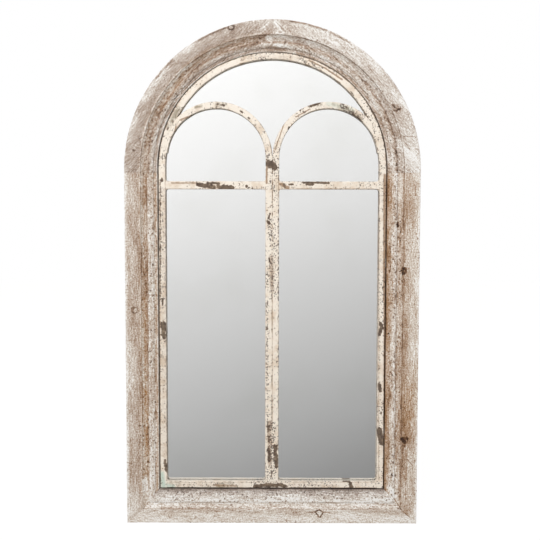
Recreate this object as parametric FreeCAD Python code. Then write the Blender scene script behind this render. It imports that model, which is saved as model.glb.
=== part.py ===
"""Arched window mirror: a weathered wooden frame, an iron window grille, glass and its fixings.

Millimetres. X runs to the right as seen from the front, Z is up, and the front faces -Y. The origin
is at the middle of the bottom, halfway through the whole depth. Depths are measured back from the
plane of the frame's front.
"""

import math
import os

import FreeCAD
import Part

# Frame: overall size, width of the moulding and depth. The opening's arch springs a little higher
# than the outer one, and the foot is a little wider than the sides.
HALF_WIDTH = 311.0
HEIGHT = 1067.0
SPRING_Z = HEIGHT - HALF_WIDTH
SIDE_WIDTH = 68.0
FOOT_WIDTH = 70.0
ARCH_RISE = 3.0
JOINT_Z = SPRING_Z - 6.0
SIGHT_R = HALF_WIDTH - SIDE_WIDTH
SIGHT_SPRING_Z = SPRING_Z + ARCH_RISE
FRAME_DEPTH = 42.0
REBATE_WIDTH = 12.0
REBATE_R = SIGHT_R + REBATE_WIDTH
SHOULDER_DEPTH = 28.0
EDGE_EASE = 1.5

# Hanger on the back, which sets the whole depth
STRAP_WIDTH = 16.0
STRAP_THICK = 1.2
STRAP_DROP = 70.0
EYE_R = 2.0
RING_WIRE_R = 1.7
RING_HALF_WIDTH = 11.0
RING_SIDE = 8.0
RING_CORNER_R = 2.5
HANGER_X = 282.0
RING_Z = 735.0
EYE_DEPTH = FRAME_DEPTH + STRAP_THICK + EYE_R
TOTAL_DEPTH = EYE_DEPTH + EYE_R + STRAP_THICK
FRONT_Y = -TOTAL_DEPTH / 2

# Moulding: its members, as distances out from the sight edge, and their depths
FILLET_OUT = 6.8
FILLET_DEPTH = 13.2
SIGHT_CHAMFER = 0.8
OVOLO_IN = 7.6
OVOLO_OUT = 20.6
OVOLO_FOOT = 10.8
OVOLO_SWELL = 7.3
OVOLO_TOP = 7.4
QUIRK_IN = 21.0
QUIRK_OUT = 22.6
QUIRK_DEPTH = 10.8
COVE_IN = 23.4
COVE_OUT = 31.6
COVE_FOOT = 9.2
COVE_HOLLOW = 7.8
COVE_TOP = 4.2
STEP_IN = 32.8
STEP_OUT = 33.8
STEP_DEPTH = 3.6

# On the rail, the ovolo is wider, and the quirk, cove and step lie further out
FOOT_SPREAD = 6.0

# Grille
BAR_WIDTH = 14.5
BAR_FACE = 16.0
BAR_EASE = 1.6
GRILLE_GAP = 2.5
GRILLE_RISE = 2.1
GRILLE_R = SIGHT_R - GRILLE_GAP
GRILLE_INNER_R = GRILLE_R - BAR_WIDTH
GRILLE_SPRING_Z = SIGHT_SPRING_Z + GRILLE_RISE
GRILLE_FOOT_Z = FOOT_WIDTH + GRILLE_GAP
LIGHT_R = 118.3
LIGHT_SPRING_Z = 781.0
LIGHT_HEEL_Z = 792.0
CROSSBAR_Z = 724.0
CROSSBAR_HEIGHT = 17.0
CROSSBAR_SETBACK = 0.8
WELD_LEG = 3.0
WELD_SETBACK = 1.5
WELD_CLEARANCE = 0.5

# Lugs that hold the grille, let into the shoulder of the rebate
LUG_WIDTH = 18.0
LUG_THICK = 3.0
LUG_REACH = 12.0
LUG_CLEARANCE = 0.25
LUG_LEG_Z = (200.0, 560.0)
LUG_FOOT_X = 120.0
LUG_ARCH_ANGLES = (45.0, 90.0, 135.0)
LUG_SCREW_R = 1.5
LUG_SCREW_HEAD_R = 3.2
LUG_SCREW_HEAD = 1.8
LUG_SCREW_LENGTH = 11.0

# Glass, board and the points that hold them
GLASS_THICK = 4.0
BOARD_THICK = 4.0
BOARD_DEPTH = SHOULDER_DEPTH + GLASS_THICK
POINT_DEPTH = BOARD_DEPTH + BOARD_THICK
SHEET_CLEARANCE = 1.5
SHEET_R = REBATE_R - SHEET_CLEARANCE
SHEET_FOOT_Z = FOOT_WIDTH - REBATE_WIDTH
POINT_WIDTH = 9.0
POINT_THICK = 0.8
POINT_OUT = 10.0
POINT_IN = 10.0
POINT_TAPER = 8.0
POINT_LEG_Z = (150.0, 340.0, 530.0, 712.0)
POINT_FOOT_X = (-150.0, 0.0, 150.0)
POINT_ARCH_ANGLES = (25.0, 57.0, 90.0, 123.0, 155.0)

# Dowels in the joints of the frame
DOWEL_R = 4.0
DOWEL_HALF = 20.0
DOWEL_RADII = (266.0, 294.0)
DOWEL_DEPTH = 26.0
MITRE_DOWEL_R = 3.0
MITRE_DOWEL_HALF = 15.0
MITRE_DOWEL_OFFSETS = (30.0, 50.0)
MITRE_DOWEL_DEPTH = 20.0

# Screws of the hangers
SCREW_R = 1.9
SCREW_LENGTH = 22.0
SCREW_POINT = 5.0
SCREW_HEAD_R = 4.0
SCREW_HEAD = 2.2
SCREW_HEAD_EASE = 1.3
SEAT_DEPTH = FRAME_DEPTH + STRAP_THICK
SCREW_DROPS = (30.0, 45.0, 60.0)
CROSS_WIDTH = 0.9
CROSS_LENGTH = 4.4
CROSS_DEPTH = 1.3

# Bumpers
BUMPER_R = 10.0
BUMPER_THICK = 5.0
BUMPER_EASE = 1.2
BUMPER_Z = 60.0

X_AXIS = FreeCAD.Vector(1, 0, 0)
Y_AXIS = FreeCAD.Vector(0, 1, 0)
Z_AXIS = FreeCAD.Vector(0, 0, 1)
HUGE = 2000.0
MARGIN = 1.0


def at(x, depth, z):
    """A point from its place across, its depth behind the front and its height."""
    return FreeCAD.Vector(x, FRONT_Y + depth, z)


def box(x_range, depth_range, z_range):
    """A block between two places across, two depths and two heights."""
    size = [high - low for low, high in (x_range, depth_range, z_range)]
    return Part.makeBox(*size, at(x_range[0], depth_range[0], z_range[0]))


def rod(start, end, radius):
    """A round bar from one point to another."""
    along = end - start
    return Part.makeCylinder(radius, along.Length, start, along)


def plate(outline, depth_range):
    """A flat piece: an outline of (x, z) points, from one depth to another."""
    points = [at(x, depth_range[0], z) for x, z in outline]
    face = Part.Face(Part.makePolygon(points + points[:1]))
    return face.extrude(Y_AXIS * (depth_range[1] - depth_range[0]))


def arched_plate(radius, foot_z, spring_z, depth_range):
    """A flat piece with a round head, standing on foot_z."""
    depth = depth_range[0]
    foot_left, foot_right = at(-radius, depth, foot_z), at(radius, depth, foot_z)
    spring_left, spring_right = at(-radius, depth, spring_z), at(radius, depth, spring_z)
    edges = [
        Part.makeLine(foot_left, foot_right),
        Part.makeLine(foot_right, spring_right),
        Part.Arc(spring_right, at(0, depth, spring_z + radius), spring_left).toShape(),
        Part.makeLine(spring_left, foot_left),
    ]
    return Part.Face(Part.Wire(edges)).extrude(Y_AXIS * (depth_range[1] - depth))


def mirrored(shape):
    """The same piece on the other side of the middle."""
    return shape.mirror(FreeCAD.Vector(0, 0, 0), X_AXIS)


def turned(shape, degrees, spring_z):
    """A piece drawn at the right-hand springing, carried round an arch by an angle."""
    copy = shape.copy()
    copy.rotate(at(0, 0, spring_z), Y_AXIS, -degrees)
    return copy


def fused(shapes):
    """Several solids as one, without the seams between them."""
    return shapes[0].fuse(shapes[1:]).removeSplitter()


def section_face(runs, place):
    """A closed section from runs of 2 points (a line) or 3 (an arc); place turns (r, depth) to a point."""
    edges = []
    for run in runs:
        points = [place(r, depth) for r, depth in run]
        if len(points) == 3:
            edges.append(Part.Arc(*points).toShape())
        else:
            edges.append(Part.makeLine(*points))
    return Part.Face(Part.Wire(edges))


def on_right(centre_x, z):
    """Places a section in a level plane, right of a centre."""
    return lambda r, depth: at(centre_x + r, depth, z)


def eased_corner(r, depth, ease, towards):
    """The rounded front corner at radius r, as an arc; towards is the side on which the face lies."""
    slack = ease * (1 - math.sqrt(0.5))
    return [(r, depth + ease), (r + towards * slack, depth + slack), (r + towards * ease, depth)]


def lines(points):
    """Straight runs from each point to the next."""
    return list(zip(points, points[1:]))


def moulding_runs(outer, spread=0.0):
    """The section of the frame, out to a radius: fillet, ovolo, quirk, cove, step and flat band.

    The spread widens the ovolo and moves what follows it further out.
    """
    def out(distance, depth):
        return (SIGHT_R + distance, depth)

    def past(distance, depth):
        return out(distance + spread, depth)

    corner = eased_corner(outer, 0, EDGE_EASE, -1)
    lip = [
        out(0, SHOULDER_DEPTH),
        out(0, FILLET_DEPTH + SIGHT_CHAMFER),
        out(SIGHT_CHAMFER, FILLET_DEPTH),
        out(FILLET_OUT, FILLET_DEPTH),
        out(OVOLO_IN, OVOLO_FOOT),
    ]
    ovolo = [lip[-1], out((OVOLO_IN + OVOLO_OUT + spread) / 2, OVOLO_SWELL), past(OVOLO_OUT, OVOLO_TOP)]
    quirk = [ovolo[-1], past(QUIRK_IN, QUIRK_DEPTH), past(QUIRK_OUT, QUIRK_DEPTH), past(COVE_IN, COVE_FOOT)]
    cove = [quirk[-1], past((COVE_IN + COVE_OUT) / 2, COVE_HOLLOW), past(COVE_OUT, COVE_TOP)]
    band = [cove[-1], past(STEP_IN, STEP_DEPTH), past(STEP_OUT, 0), corner[2]]
    back = [
        corner[0],
        (outer, FRAME_DEPTH),
        out(REBATE_WIDTH, FRAME_DEPTH),
        out(REBATE_WIDTH, SHOULDER_DEPTH),
        lip[0],
    ]
    front = lines(lip) + [ovolo] + lines(quirk) + [cove] + lines(band)
    return front + [corner[::-1]] + lines(back)


def bar_runs(inner, outer, face=BAR_FACE, back=SHOULDER_DEPTH):
    """The section of a grille bar, with its two front edges worn round."""
    left = eased_corner(inner, face, BAR_EASE, 1)
    right = eased_corner(outer, face, BAR_EASE, -1)[::-1]
    return [
        left,
        (left[2], right[0]),
        right,
        (right[2], (outer, back)),
        ((outer, back), (inner, back)),
        ((inner, back), left[0]),
    ]


def upright(runs, foot_z, top_z):
    """A straight length of a section, standing on the right of the middle."""
    return section_face(runs, on_right(0, foot_z)).extrude(Z_AXIS * (top_z - foot_z))


def swept_arc(runs, centre_x, spring_z, start, sweep):
    """A section carried round part of an arch, from the angle start, anticlockwise from the right."""
    face = section_face(runs, on_right(centre_x, spring_z))
    centre = at(centre_x, 0, spring_z)
    solid = face.revolve(centre, Y_AXIS, -sweep)
    solid.rotate(centre, Y_AXIS, -start)
    return solid


def level_bar(start_x, end_x, centre_z, height, face):
    """A level grille bar between two places across."""
    low, high = centre_z - height / 2, centre_z + height / 2
    section = section_face(bar_runs(low, high, face), lambda z, depth: at(start_x, depth, z))
    return section.extrude(X_AXIS * (end_x - start_x))


# Frame

def mitre_line():
    """The right-hand mitre from the sight corner out, bent so that each member meets its own."""
    members = [
        (0, 0),
        (OVOLO_IN, OVOLO_IN),
        (OVOLO_OUT, OVOLO_OUT + FOOT_SPREAD),
        (STEP_OUT, STEP_OUT + FOOT_SPREAD),
        (SIDE_WIDTH, FOOT_WIDTH),
    ]
    return [(SIGHT_R + on_stile, FOOT_WIDTH - on_rail) for on_stile, on_rail in members]


def stile_blank():
    """The right stile, mitred at its foot, before its joints and fixings are cut."""
    blank = upright(moulding_runs(HALF_WIDTH), 0, JOINT_Z)
    above_mitre = mitre_line() + [(HUGE, 0), (HUGE, HUGE), (SIGHT_R, HUGE)]
    return blank.common(plate(above_mitre, (-MARGIN, FRAME_DEPTH + MARGIN)))


def rail_blank():
    """The bottom rail, mitred at both ends."""
    outer = SIGHT_R + FOOT_WIDTH
    runs = moulding_runs(outer, FOOT_SPREAD)
    section = section_face(runs, lambda r, depth: at(-HALF_WIDTH, depth, outer - r))
    blank = section.extrude(X_AXIS * 2 * HALF_WIDTH)
    right = mitre_line()
    left = [(-x, z) for x, z in reversed(right)]
    return blank.common(plate(left + right, (-MARGIN, FRAME_DEPTH + MARGIN)))


def arch_blank():
    """The right quarter of the arch: the opening's moulding, trimmed by the outer edge's own circle."""
    inner_runs = moulding_runs(HALF_WIDTH + SIDE_WIDTH)
    core = SIGHT_R / 2
    corner = eased_corner(HALF_WIDTH, 0, EDGE_EASE, -1)
    outer_runs = [
        corner,
        (corner[2], (core, 0)),
        ((core, 0), (core, FRAME_DEPTH)),
        ((core, FRAME_DEPTH), (HALF_WIDTH, FRAME_DEPTH)),
        ((HALF_WIDTH, FRAME_DEPTH), corner[0]),
    ]
    halves = []
    for runs, spring_z in ((inner_runs, SIGHT_SPRING_Z), (outer_runs, SPRING_Z)):
        halves.append(fused([upright(runs, JOINT_Z, spring_z), swept_arc(runs, 0, spring_z, 0, 90)]))
    return halves[0].common(halves[1])


def dowels():
    """The dowels of each kind of joint: crown, springing and mitre."""
    crown = []
    springing = []
    for r in DOWEL_RADII:
        z = SPRING_Z + r
        crown.append(rod(at(-DOWEL_HALF, DOWEL_DEPTH, z), at(DOWEL_HALF, DOWEL_DEPTH, z), DOWEL_R))
        start = at(r, DOWEL_DEPTH, JOINT_Z - DOWEL_HALF)
        upright_dowel = rod(start, start + Z_AXIS * 2 * DOWEL_HALF, DOWEL_R)
        springing += [mirrored(upright_dowel), upright_dowel]
    reach = MITRE_DOWEL_HALF * math.sqrt(0.5)
    mitre = []
    for side in (-1, 1):
        for offset in MITRE_DOWEL_OFFSETS:
            x, z = HALF_WIDTH - offset, offset
            start = at(side * (x - reach), MITRE_DOWEL_DEPTH, z - reach)
            end = at(side * (x + reach), MITRE_DOWEL_DEPTH, z + reach)
            mitre.append(rod(start, end, MITRE_DOWEL_R))
    return crown, springing, mitre


# Grille

def perimeter_bars():
    """The bars that follow the opening: the right upright and the arch that it carries."""
    runs = bar_runs(GRILLE_INNER_R, GRILLE_R)
    side = upright(runs, GRILLE_FOOT_Z, GRILLE_SPRING_Z)
    arch = swept_arc(runs, 0, GRILLE_SPRING_Z, 0, 180)
    return side, arch


def mullion_bar():
    """The right half of the mullion, which carries the right light's head."""
    return upright(bar_runs(0, BAR_WIDTH), GRILLE_FOOT_Z + BAR_WIDTH, LIGHT_SPRING_Z)


def light_arch(arch):
    """The right light's round head, which dies into the arch bar at its heel."""
    head = swept_arc(bar_runs(LIGHT_R - BAR_WIDTH, LIGHT_R), LIGHT_R, LIGHT_SPRING_Z, 0, 180)
    below_heel = box((LIGHT_R, HUGE), (0, FRAME_DEPTH), (0, LIGHT_HEEL_Z))
    inside = arched_plate(GRILLE_INNER_R, 0, GRILLE_SPRING_Z, (0, FRAME_DEPTH))
    return head.common(inside).cut(below_heel).cut(arch)


def crossbar():
    """The right crossbar, between the mullion and the perimeter bar."""
    return level_bar(BAR_WIDTH, GRILLE_INNER_R, CROSSBAR_Z, CROSSBAR_HEIGHT, BAR_FACE + CROSSBAR_SETBACK)


def weld_beads():
    """A bead in each inner corner of the grille: at the crossbars' ends and along the foot."""
    beads = []
    levels = [
        (CROSSBAR_Z + CROSSBAR_HEIGHT / 2, 1),
        (CROSSBAR_Z - CROSSBAR_HEIGHT / 2, -1),
        (GRILLE_FOOT_Z + BAR_WIDTH, 1),
    ]
    depths = (BAR_FACE + BAR_EASE + WELD_SETBACK, SHOULDER_DEPTH - WELD_CLEARANCE)
    for z, up in levels:
        for x, out in ((BAR_WIDTH, 1), (GRILLE_INNER_R, -1)):
            corner = [(x, z), (x + out * WELD_LEG, z), (x, z + up * WELD_LEG)]
            bead = plate(corner, depths)
            beads += [bead, mirrored(bead)]
    return beads


# Lugs, sheets and points

def lug_places():
    """Carries a piece drawn on the right at the springing to each lug's place."""
    down = GRILLE_SPRING_Z

    def on_leg(side, z):
        def carry(shape):
            moved = shape.translated(FreeCAD.Vector(0, 0, z - down))
            return mirrored(moved) if side < 0 else moved
        return carry

    def on_foot(x):
        def carry(shape):
            moved = shape.copy()
            moved.rotate(at(0, 0, down), Y_AXIS, 90)
            moved.translate(FreeCAD.Vector(x, 0, SIGHT_R - (down - FOOT_WIDTH)))
            return moved
        return carry

    def on_arch(angle):
        return lambda shape: turned(shape, angle, down)

    places = [on_leg(side, z) for side in (-1, 1) for z in LUG_LEG_Z]
    places += [on_foot(side * LUG_FOOT_X) for side in (-1, 1)]
    places += [on_arch(angle) for angle in LUG_ARCH_ANGLES]
    return places


def countersunk_screw(x, z):
    """A small countersunk screw, its head flush with the shoulder, pointing to the front."""
    base = at(x, SHOULDER_DEPTH, z)
    head = Part.makeCone(LUG_SCREW_HEAD_R, LUG_SCREW_R, LUG_SCREW_HEAD, base, Y_AXIS * -1)
    shank_length = LUG_SCREW_LENGTH - LUG_SCREW_HEAD - LUG_SCREW_R * 2
    neck = base - Y_AXIS * LUG_SCREW_HEAD
    shank = Part.makeCylinder(LUG_SCREW_R, shank_length, neck, Y_AXIS * -1)
    tip = Part.makeCone(LUG_SCREW_R, 0, LUG_SCREW_R * 2, neck - Y_AXIS * shank_length, Y_AXIS * -1)
    return fused([head, shank, tip])


def lugs_and_screws():
    """Each lug, the pocket that it sits in and its screw."""
    z_range = (GRILLE_SPRING_Z - LUG_WIDTH / 2, GRILLE_SPRING_Z + LUG_WIDTH / 2)
    depth_range = (SHOULDER_DEPTH - LUG_THICK, SHOULDER_DEPTH)
    tip = GRILLE_R + LUG_REACH
    bar = box((0, GRILLE_R), depth_range, z_range)
    arch_side = Part.makeCylinder(GRILLE_R, FRAME_DEPTH, at(0, 0, GRILLE_SPRING_Z), Y_AXIS)
    blank = box((GRILLE_R - BAR_EASE, tip), depth_range, z_range)
    pocket_z = (z_range[0] - LUG_CLEARANCE, z_range[1] + LUG_CLEARANCE)
    pocket = box((GRILLE_R, tip + LUG_CLEARANCE), (depth_range[0], SHOULDER_DEPTH), pocket_z)
    screw = countersunk_screw((SIGHT_R + tip) / 2, GRILLE_SPRING_Z)
    lugs, pockets, screws = [], [], []
    for carry in lug_places():
        placed_screw = carry(screw)
        lugs.append(carry(blank.cut([bar, arch_side])).cut(placed_screw))
        pockets.append(carry(pocket))
        screws.append(placed_screw)
    return lugs, pockets, screws


def glazing_points():
    """Flat steel points, half of each driven into the wall of the rebate."""
    depths = (POINT_DEPTH, POINT_DEPTH + POINT_THICK)
    inner, outer = REBATE_R - POINT_IN, REBATE_R + POINT_OUT
    half = POINT_WIDTH / 2
    outline = [
        (inner, SIGHT_SPRING_Z - half),
        (outer - POINT_TAPER, SIGHT_SPRING_Z - half),
        (outer, SIGHT_SPRING_Z),
        (outer - POINT_TAPER, SIGHT_SPRING_Z + half),
        (inner, SIGHT_SPRING_Z + half),
    ]
    point = plate(outline, depths)
    points = []
    for z in POINT_LEG_Z:
        placed = point.translated(FreeCAD.Vector(0, 0, z - SIGHT_SPRING_Z))
        points += [placed, mirrored(placed)]
    for x in POINT_FOOT_X:
        placed = turned(point, -90, SIGHT_SPRING_Z)
        placed.translate(FreeCAD.Vector(x, 0, SIGHT_R + FOOT_WIDTH - SIGHT_SPRING_Z))
        points.append(placed)
    points += [turned(point, angle, SIGHT_SPRING_Z) for angle in POINT_ARCH_ANGLES]
    return points


# Hangers and bumpers

def hanger_strap():
    """The right strap: a flat leaf with three holes and a rolled eye at its top."""
    sides = (HANGER_X - STRAP_WIDTH / 2, HANGER_X + STRAP_WIDTH / 2)
    end_z = RING_Z - STRAP_DROP + STRAP_WIDTH / 2
    leaf = box(sides, (FRAME_DEPTH, SEAT_DEPTH), (end_z, RING_Z))
    end = rod(at(HANGER_X, FRAME_DEPTH, end_z), at(HANGER_X, SEAT_DEPTH, end_z), STRAP_WIDTH / 2)
    left, right = at(sides[0], EYE_DEPTH, RING_Z), at(sides[1], EYE_DEPTH, RING_Z)
    roll = rod(left, right, EYE_R)
    eye = rod(left, right, EYE_R + STRAP_THICK).cut(roll)
    return fused([leaf, end, eye]).cut(roll)


def rear_rim(disc, depth):
    """The round edge of a disc that lies behind a depth."""
    return [edge for edge in disc.Edges if edge.Closed and edge.CenterOfMass.y > FRONT_Y + depth]


def hanger_screws():
    """The right strap's pan-head screws, each with a cross recess."""
    screws = []
    for drop in SCREW_DROPS:
        z = RING_Z - drop
        seat = at(HANGER_X, SEAT_DEPTH, z)
        head = Part.makeCylinder(SCREW_HEAD_R, SCREW_HEAD, seat, Y_AXIS)
        head = head.makeFillet(SCREW_HEAD_EASE, rear_rim(head, SEAT_DEPTH + SCREW_HEAD / 2))
        shank = Part.makeCylinder(SCREW_R, SCREW_LENGTH - SCREW_POINT, seat, Y_AXIS * -1)
        tip_seat = seat - Y_AXIS * (SCREW_LENGTH - SCREW_POINT)
        tip = Part.makeCone(SCREW_R, 0, SCREW_POINT, tip_seat, Y_AXIS * -1)
        screw = fused([head, shank, tip])
        head_top = SEAT_DEPTH + SCREW_HEAD
        recess_depths = (head_top - CROSS_DEPTH, head_top + MARGIN)
        for width, height in ((CROSS_WIDTH, CROSS_LENGTH), (CROSS_LENGTH, CROSS_WIDTH)):
            x_range = (HANGER_X - width / 2, HANGER_X + width / 2)
            screw = screw.cut(box(x_range, recess_depths, (z - height / 2, z + height / 2)))
        screws.append(screw)
    return screws


def bend(centre_x, centre_z, radius, start, sweep):
    """A bend of the ring's wire in the plane of the ring, angles anticlockwise from the right."""
    torus = Part.makeTorus(radius, RING_WIRE_R, FreeCAD.Vector(0, 0, 0), Z_AXIS, -180, 180, sweep)
    torus.rotate(FreeCAD.Vector(0, 0, 0), Z_AXIS, start)
    torus.rotate(FreeCAD.Vector(0, 0, 0), X_AXIS, 90)
    torus.translate(at(centre_x, EYE_DEPTH, centre_z))
    return torus


def hanger_ring():
    """The right D-ring, hanging from the eye: a straight bar, two bends, two sides and a bow."""
    half, corner = RING_HALF_WIDTH, RING_CORNER_R
    bow_z = RING_Z - RING_SIDE
    bar_end = X_AXIS * (half - corner)
    middle = at(HANGER_X, EYE_DEPTH, RING_Z)
    pieces = [rod(middle - bar_end, middle + bar_end, RING_WIRE_R)]
    for side in (-1, 1):
        x = HANGER_X + side * half
        pieces.append(rod(at(x, EYE_DEPTH, RING_Z - corner), at(x, EYE_DEPTH, bow_z), RING_WIRE_R))
    pieces.append(bend(HANGER_X + half - corner, RING_Z - corner, corner, 0, 90))
    pieces.append(bend(HANGER_X - half + corner, RING_Z - corner, corner, 90, 90))
    pieces.append(bend(HANGER_X, bow_z, half, 180, 180))
    return fused(pieces)


def wall_bumper():
    """The right bumper: a rubber disc with its outer edge rounded."""
    base = at(HANGER_X, FRAME_DEPTH, BUMPER_Z)
    disc = Part.makeCylinder(BUMPER_R, BUMPER_THICK, base, Y_AXIS)
    return disc.makeFillet(BUMPER_EASE, rear_rim(disc, FRAME_DEPTH + BUMPER_THICK / 2))


def build():
    """Every node, by name, as its list of solids."""
    crown, springing, mitre = dowels()
    side_bar, arch_bar = perimeter_bars()
    foot_z = GRILLE_FOOT_Z + BAR_WIDTH / 2
    foot_bar = level_bar(-GRILLE_INNER_R, GRILLE_INNER_R, foot_z, BAR_WIDTH, BAR_FACE)
    lugs, pockets, lug_screws = lugs_and_screws()
    points = glazing_points()
    right_screws = hanger_screws()
    left_screws = [mirrored(screw) for screw in right_screws]
    strap = hanger_strap().cut(right_screws)
    ring = hanger_ring()
    bumper = wall_bumper()
    mullion = mullion_bar()
    light = light_arch(arch_bar)
    bar = crossbar()

    cutters = crown + springing + mitre + pockets + lug_screws + points + right_screws + left_screws
    stile = stile_blank()
    arch = arch_blank()
    blanks = {
        "left_stile": mirrored(stile),
        "right_stile": stile,
        "bottom_rail": rail_blank(),
        "left_arch": mirrored(arch),
        "right_arch": arch,
    }
    glass = arched_plate(SHEET_R, SHEET_FOOT_Z, SIGHT_SPRING_Z, (SHOULDER_DEPTH, BOARD_DEPTH))
    board = arched_plate(SHEET_R, SHEET_FOOT_Z, SIGHT_SPRING_Z, (BOARD_DEPTH, POINT_DEPTH))
    nodes = {name: [blank.cut(cutters)] for name, blank in blanks.items()}
    nodes.update({
        "crown_dowels": crown,
        "spring_dowels": springing,
        "mitre_dowels": mitre,
        "left_side_bar": [mirrored(side_bar)],
        "right_side_bar": [side_bar],
        "arch_bar": [arch_bar],
        "bottom_bar": [foot_bar],
        "left_mullion_bar": [mirrored(mullion)],
        "right_mullion_bar": [mullion],
        "left_light_arch": [mirrored(light)],
        "right_light_arch": [light],
        "left_crossbar": [mirrored(bar)],
        "right_crossbar": [bar],
        "weld_beads": weld_beads(),
        "grille_lugs": lugs,
        "lug_screws": lug_screws,
        "mirror_glass": [glass],
        "backing_board": [board],
        "glazing_points": points,
        "left_hanger_strap": [mirrored(strap)],
        "right_hanger_strap": [strap],
        "left_hanger_ring": [mirrored(ring)],
        "right_hanger_ring": [ring],
        "left_hanger_screws": left_screws,
        "right_hanger_screws": right_screws,
        "left_wall_bumper": [mirrored(bumper)],
        "right_wall_bumper": [bumper],
    })
    return nodes


def export(nodes):
    """Writes one file per node and prints what each holds."""
    os.makedirs("parts", exist_ok=True)
    for name, shapes in nodes.items():
        solids = [solid for shape in shapes for solid in shape.Solids]
        node = solids[0] if len(solids) == 1 else Part.makeCompound(solids)
        node.exportStep(f"parts/{name}.step")
        bounds = node.BoundBox
        print(
            f"{name}: {len(solids)} solid(s), valid {node.isValid()}, volume {node.Volume:.0f}, "
            f"X {bounds.XMin:.1f} {bounds.XMax:.1f} Y {bounds.YMin:.1f} {bounds.YMax:.1f} "
            f"Z {bounds.ZMin:.1f} {bounds.ZMax:.1f}"
        )


export(build())
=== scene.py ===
"""Arched window mirror: its looks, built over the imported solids.

Sizes are millimetres in the fields of each class, and become metres where a mesh is made. X runs to
the right as seen from the front, Z is up and the front faces -Y. Depths are measured back from the
plane of the frame's front.
"""

import logging
import math
from dataclasses import dataclass, field
from enum import Enum
from itertools import product
from typing import Any, Callable, Mapping, Sequence

import bpy
import numpy as np
from mathutils import Matrix, Vector


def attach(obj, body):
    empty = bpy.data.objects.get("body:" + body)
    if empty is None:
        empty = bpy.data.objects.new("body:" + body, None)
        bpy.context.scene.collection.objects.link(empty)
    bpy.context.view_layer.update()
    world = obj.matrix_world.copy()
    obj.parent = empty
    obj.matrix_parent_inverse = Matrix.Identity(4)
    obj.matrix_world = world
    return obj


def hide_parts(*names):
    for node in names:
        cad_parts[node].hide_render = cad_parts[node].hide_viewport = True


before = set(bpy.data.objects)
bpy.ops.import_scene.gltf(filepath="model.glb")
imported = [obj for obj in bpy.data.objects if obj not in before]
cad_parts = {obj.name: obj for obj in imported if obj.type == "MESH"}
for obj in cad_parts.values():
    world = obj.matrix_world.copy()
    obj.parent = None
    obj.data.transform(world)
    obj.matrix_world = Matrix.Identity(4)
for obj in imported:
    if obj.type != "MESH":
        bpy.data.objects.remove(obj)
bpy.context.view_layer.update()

LOG = logging.getLogger("mirror")
MM = 0.001
FRONT_Y = -24.2
TINY = 1e-9
# How far from a mitre a place is, as a share of its distance along the board
MITRE = 0.7
Array = np.ndarray
Point = tuple[float, float]
# Places a section: takes shares of the way and distances out, and gives x, z and the outward direction
Path = Callable[[Array, Array], tuple[Array, Array, Array]]


# Helpers that every sub-assembly uses

def linear(hex_colour: str) -> tuple[float, float, float, float]:
    """Turns an sRGB hex colour to linear light.

    Args:
        hex_colour: the colour, such as "#e6dccf".

    Returns:
        Red, green, blue and an alpha of 1.
    """
    parts = [int(hex_colour[i:i + 2], 16) / 255 for i in (1, 3, 5)]
    r, g, b = [p / 12.92 if p <= 0.04045 else ((p + 0.055) / 1.055) ** 2.4 for p in parts]
    return r, g, b, 1.0


def add_node(
    tree: bpy.types.NodeTree,
    kind: str,
    inputs: Mapping[int | str, Any] | None = None,
    ramp: Sequence[tuple[float, tuple]] = (),
    **settings: Any,
) -> bpy.types.Node:
    """Adds a node with its settings and links.

    Args:
        tree: the node tree that gets the node.
        kind: the node's type name, without the ShaderNode that it starts with.
        inputs: for each input, by name or number, a constant, the socket to link, or the node whose
            first output is linked.
        ramp: places and colours, where the node has a colour ramp.
        **settings: the node's own settings.

    Returns:
        The node.
    """
    node = tree.nodes.new(f"ShaderNode{kind}")
    for name, value in settings.items():
        setattr(node, name, value)
    for key, value in (inputs or {}).items():
        if isinstance(value, bpy.types.Node):
            value = value.outputs[0]
        if isinstance(value, bpy.types.NodeSocket):
            tree.links.new(value, node.inputs[key])
        else:
            node.inputs[key].default_value = value
    for number, (place, colour) in enumerate(ramp):
        stops = node.color_ramp.elements
        stop = stops[number] if number < 2 else stops.new(place)
        stop.position = place
        stop.color = colour
    return node


def new_tree(name: str) -> tuple[bpy.types.Material, bpy.types.NodeTree]:
    """Makes an empty material with nodes.

    Args:
        name: the material's name.

    Returns:
        The material and its node tree.
    """
    material = bpy.data.materials.new(name)
    material.use_nodes = True
    material.node_tree.nodes.clear()
    return material, material.node_tree


class SmoothNoise:
    """Smooth seeded noise on a lattice, for relief that is cut into the meshes."""

    SIDE = 64
    # How far each octave is shifted, and what brings the sum to about -1 to 1
    SHIFT = 17.3
    GAIN = 1.6

    def __init__(self, seed: int) -> None:
        """Fills the lattice from a seed."""
        self.table = np.random.default_rng(seed).uniform(-1, 1, (self.SIDE,) * 3)

    def at(self, points: Array, cell: Sequence[float], octaves: int = 1) -> Array:
        """Reads the noise.

        Args:
            points: places, with the three coordinates along the last axis.
            cell: the size of one cell of the lattice along each coordinate.
            octaves: layers, each half the size and strength of the one before.

        Returns:
            A value from about -1 to 1 for each place.
        """
        total = np.zeros(points.shape[:-1])
        strength, reach = 1.0, 0.0
        scaled = points / np.asarray(cell, float)
        for octave in range(octaves):
            spot = scaled * 2 ** octave + self.SHIFT * octave
            low = np.floor(spot).astype(int)
            part = spot - low
            blend = part * part * (3 - 2 * part)
            for corner in product((0, 1), repeat=3):
                weight = np.prod(np.where(corner, blend, 1 - blend), axis=-1)
                index = (low + np.asarray(corner)) % self.SIDE
                total += strength * weight * self.table[index[..., 0], index[..., 1], index[..., 2]]
            reach += strength
            strength /= 2
        return total / reach * self.GAIN


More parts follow.
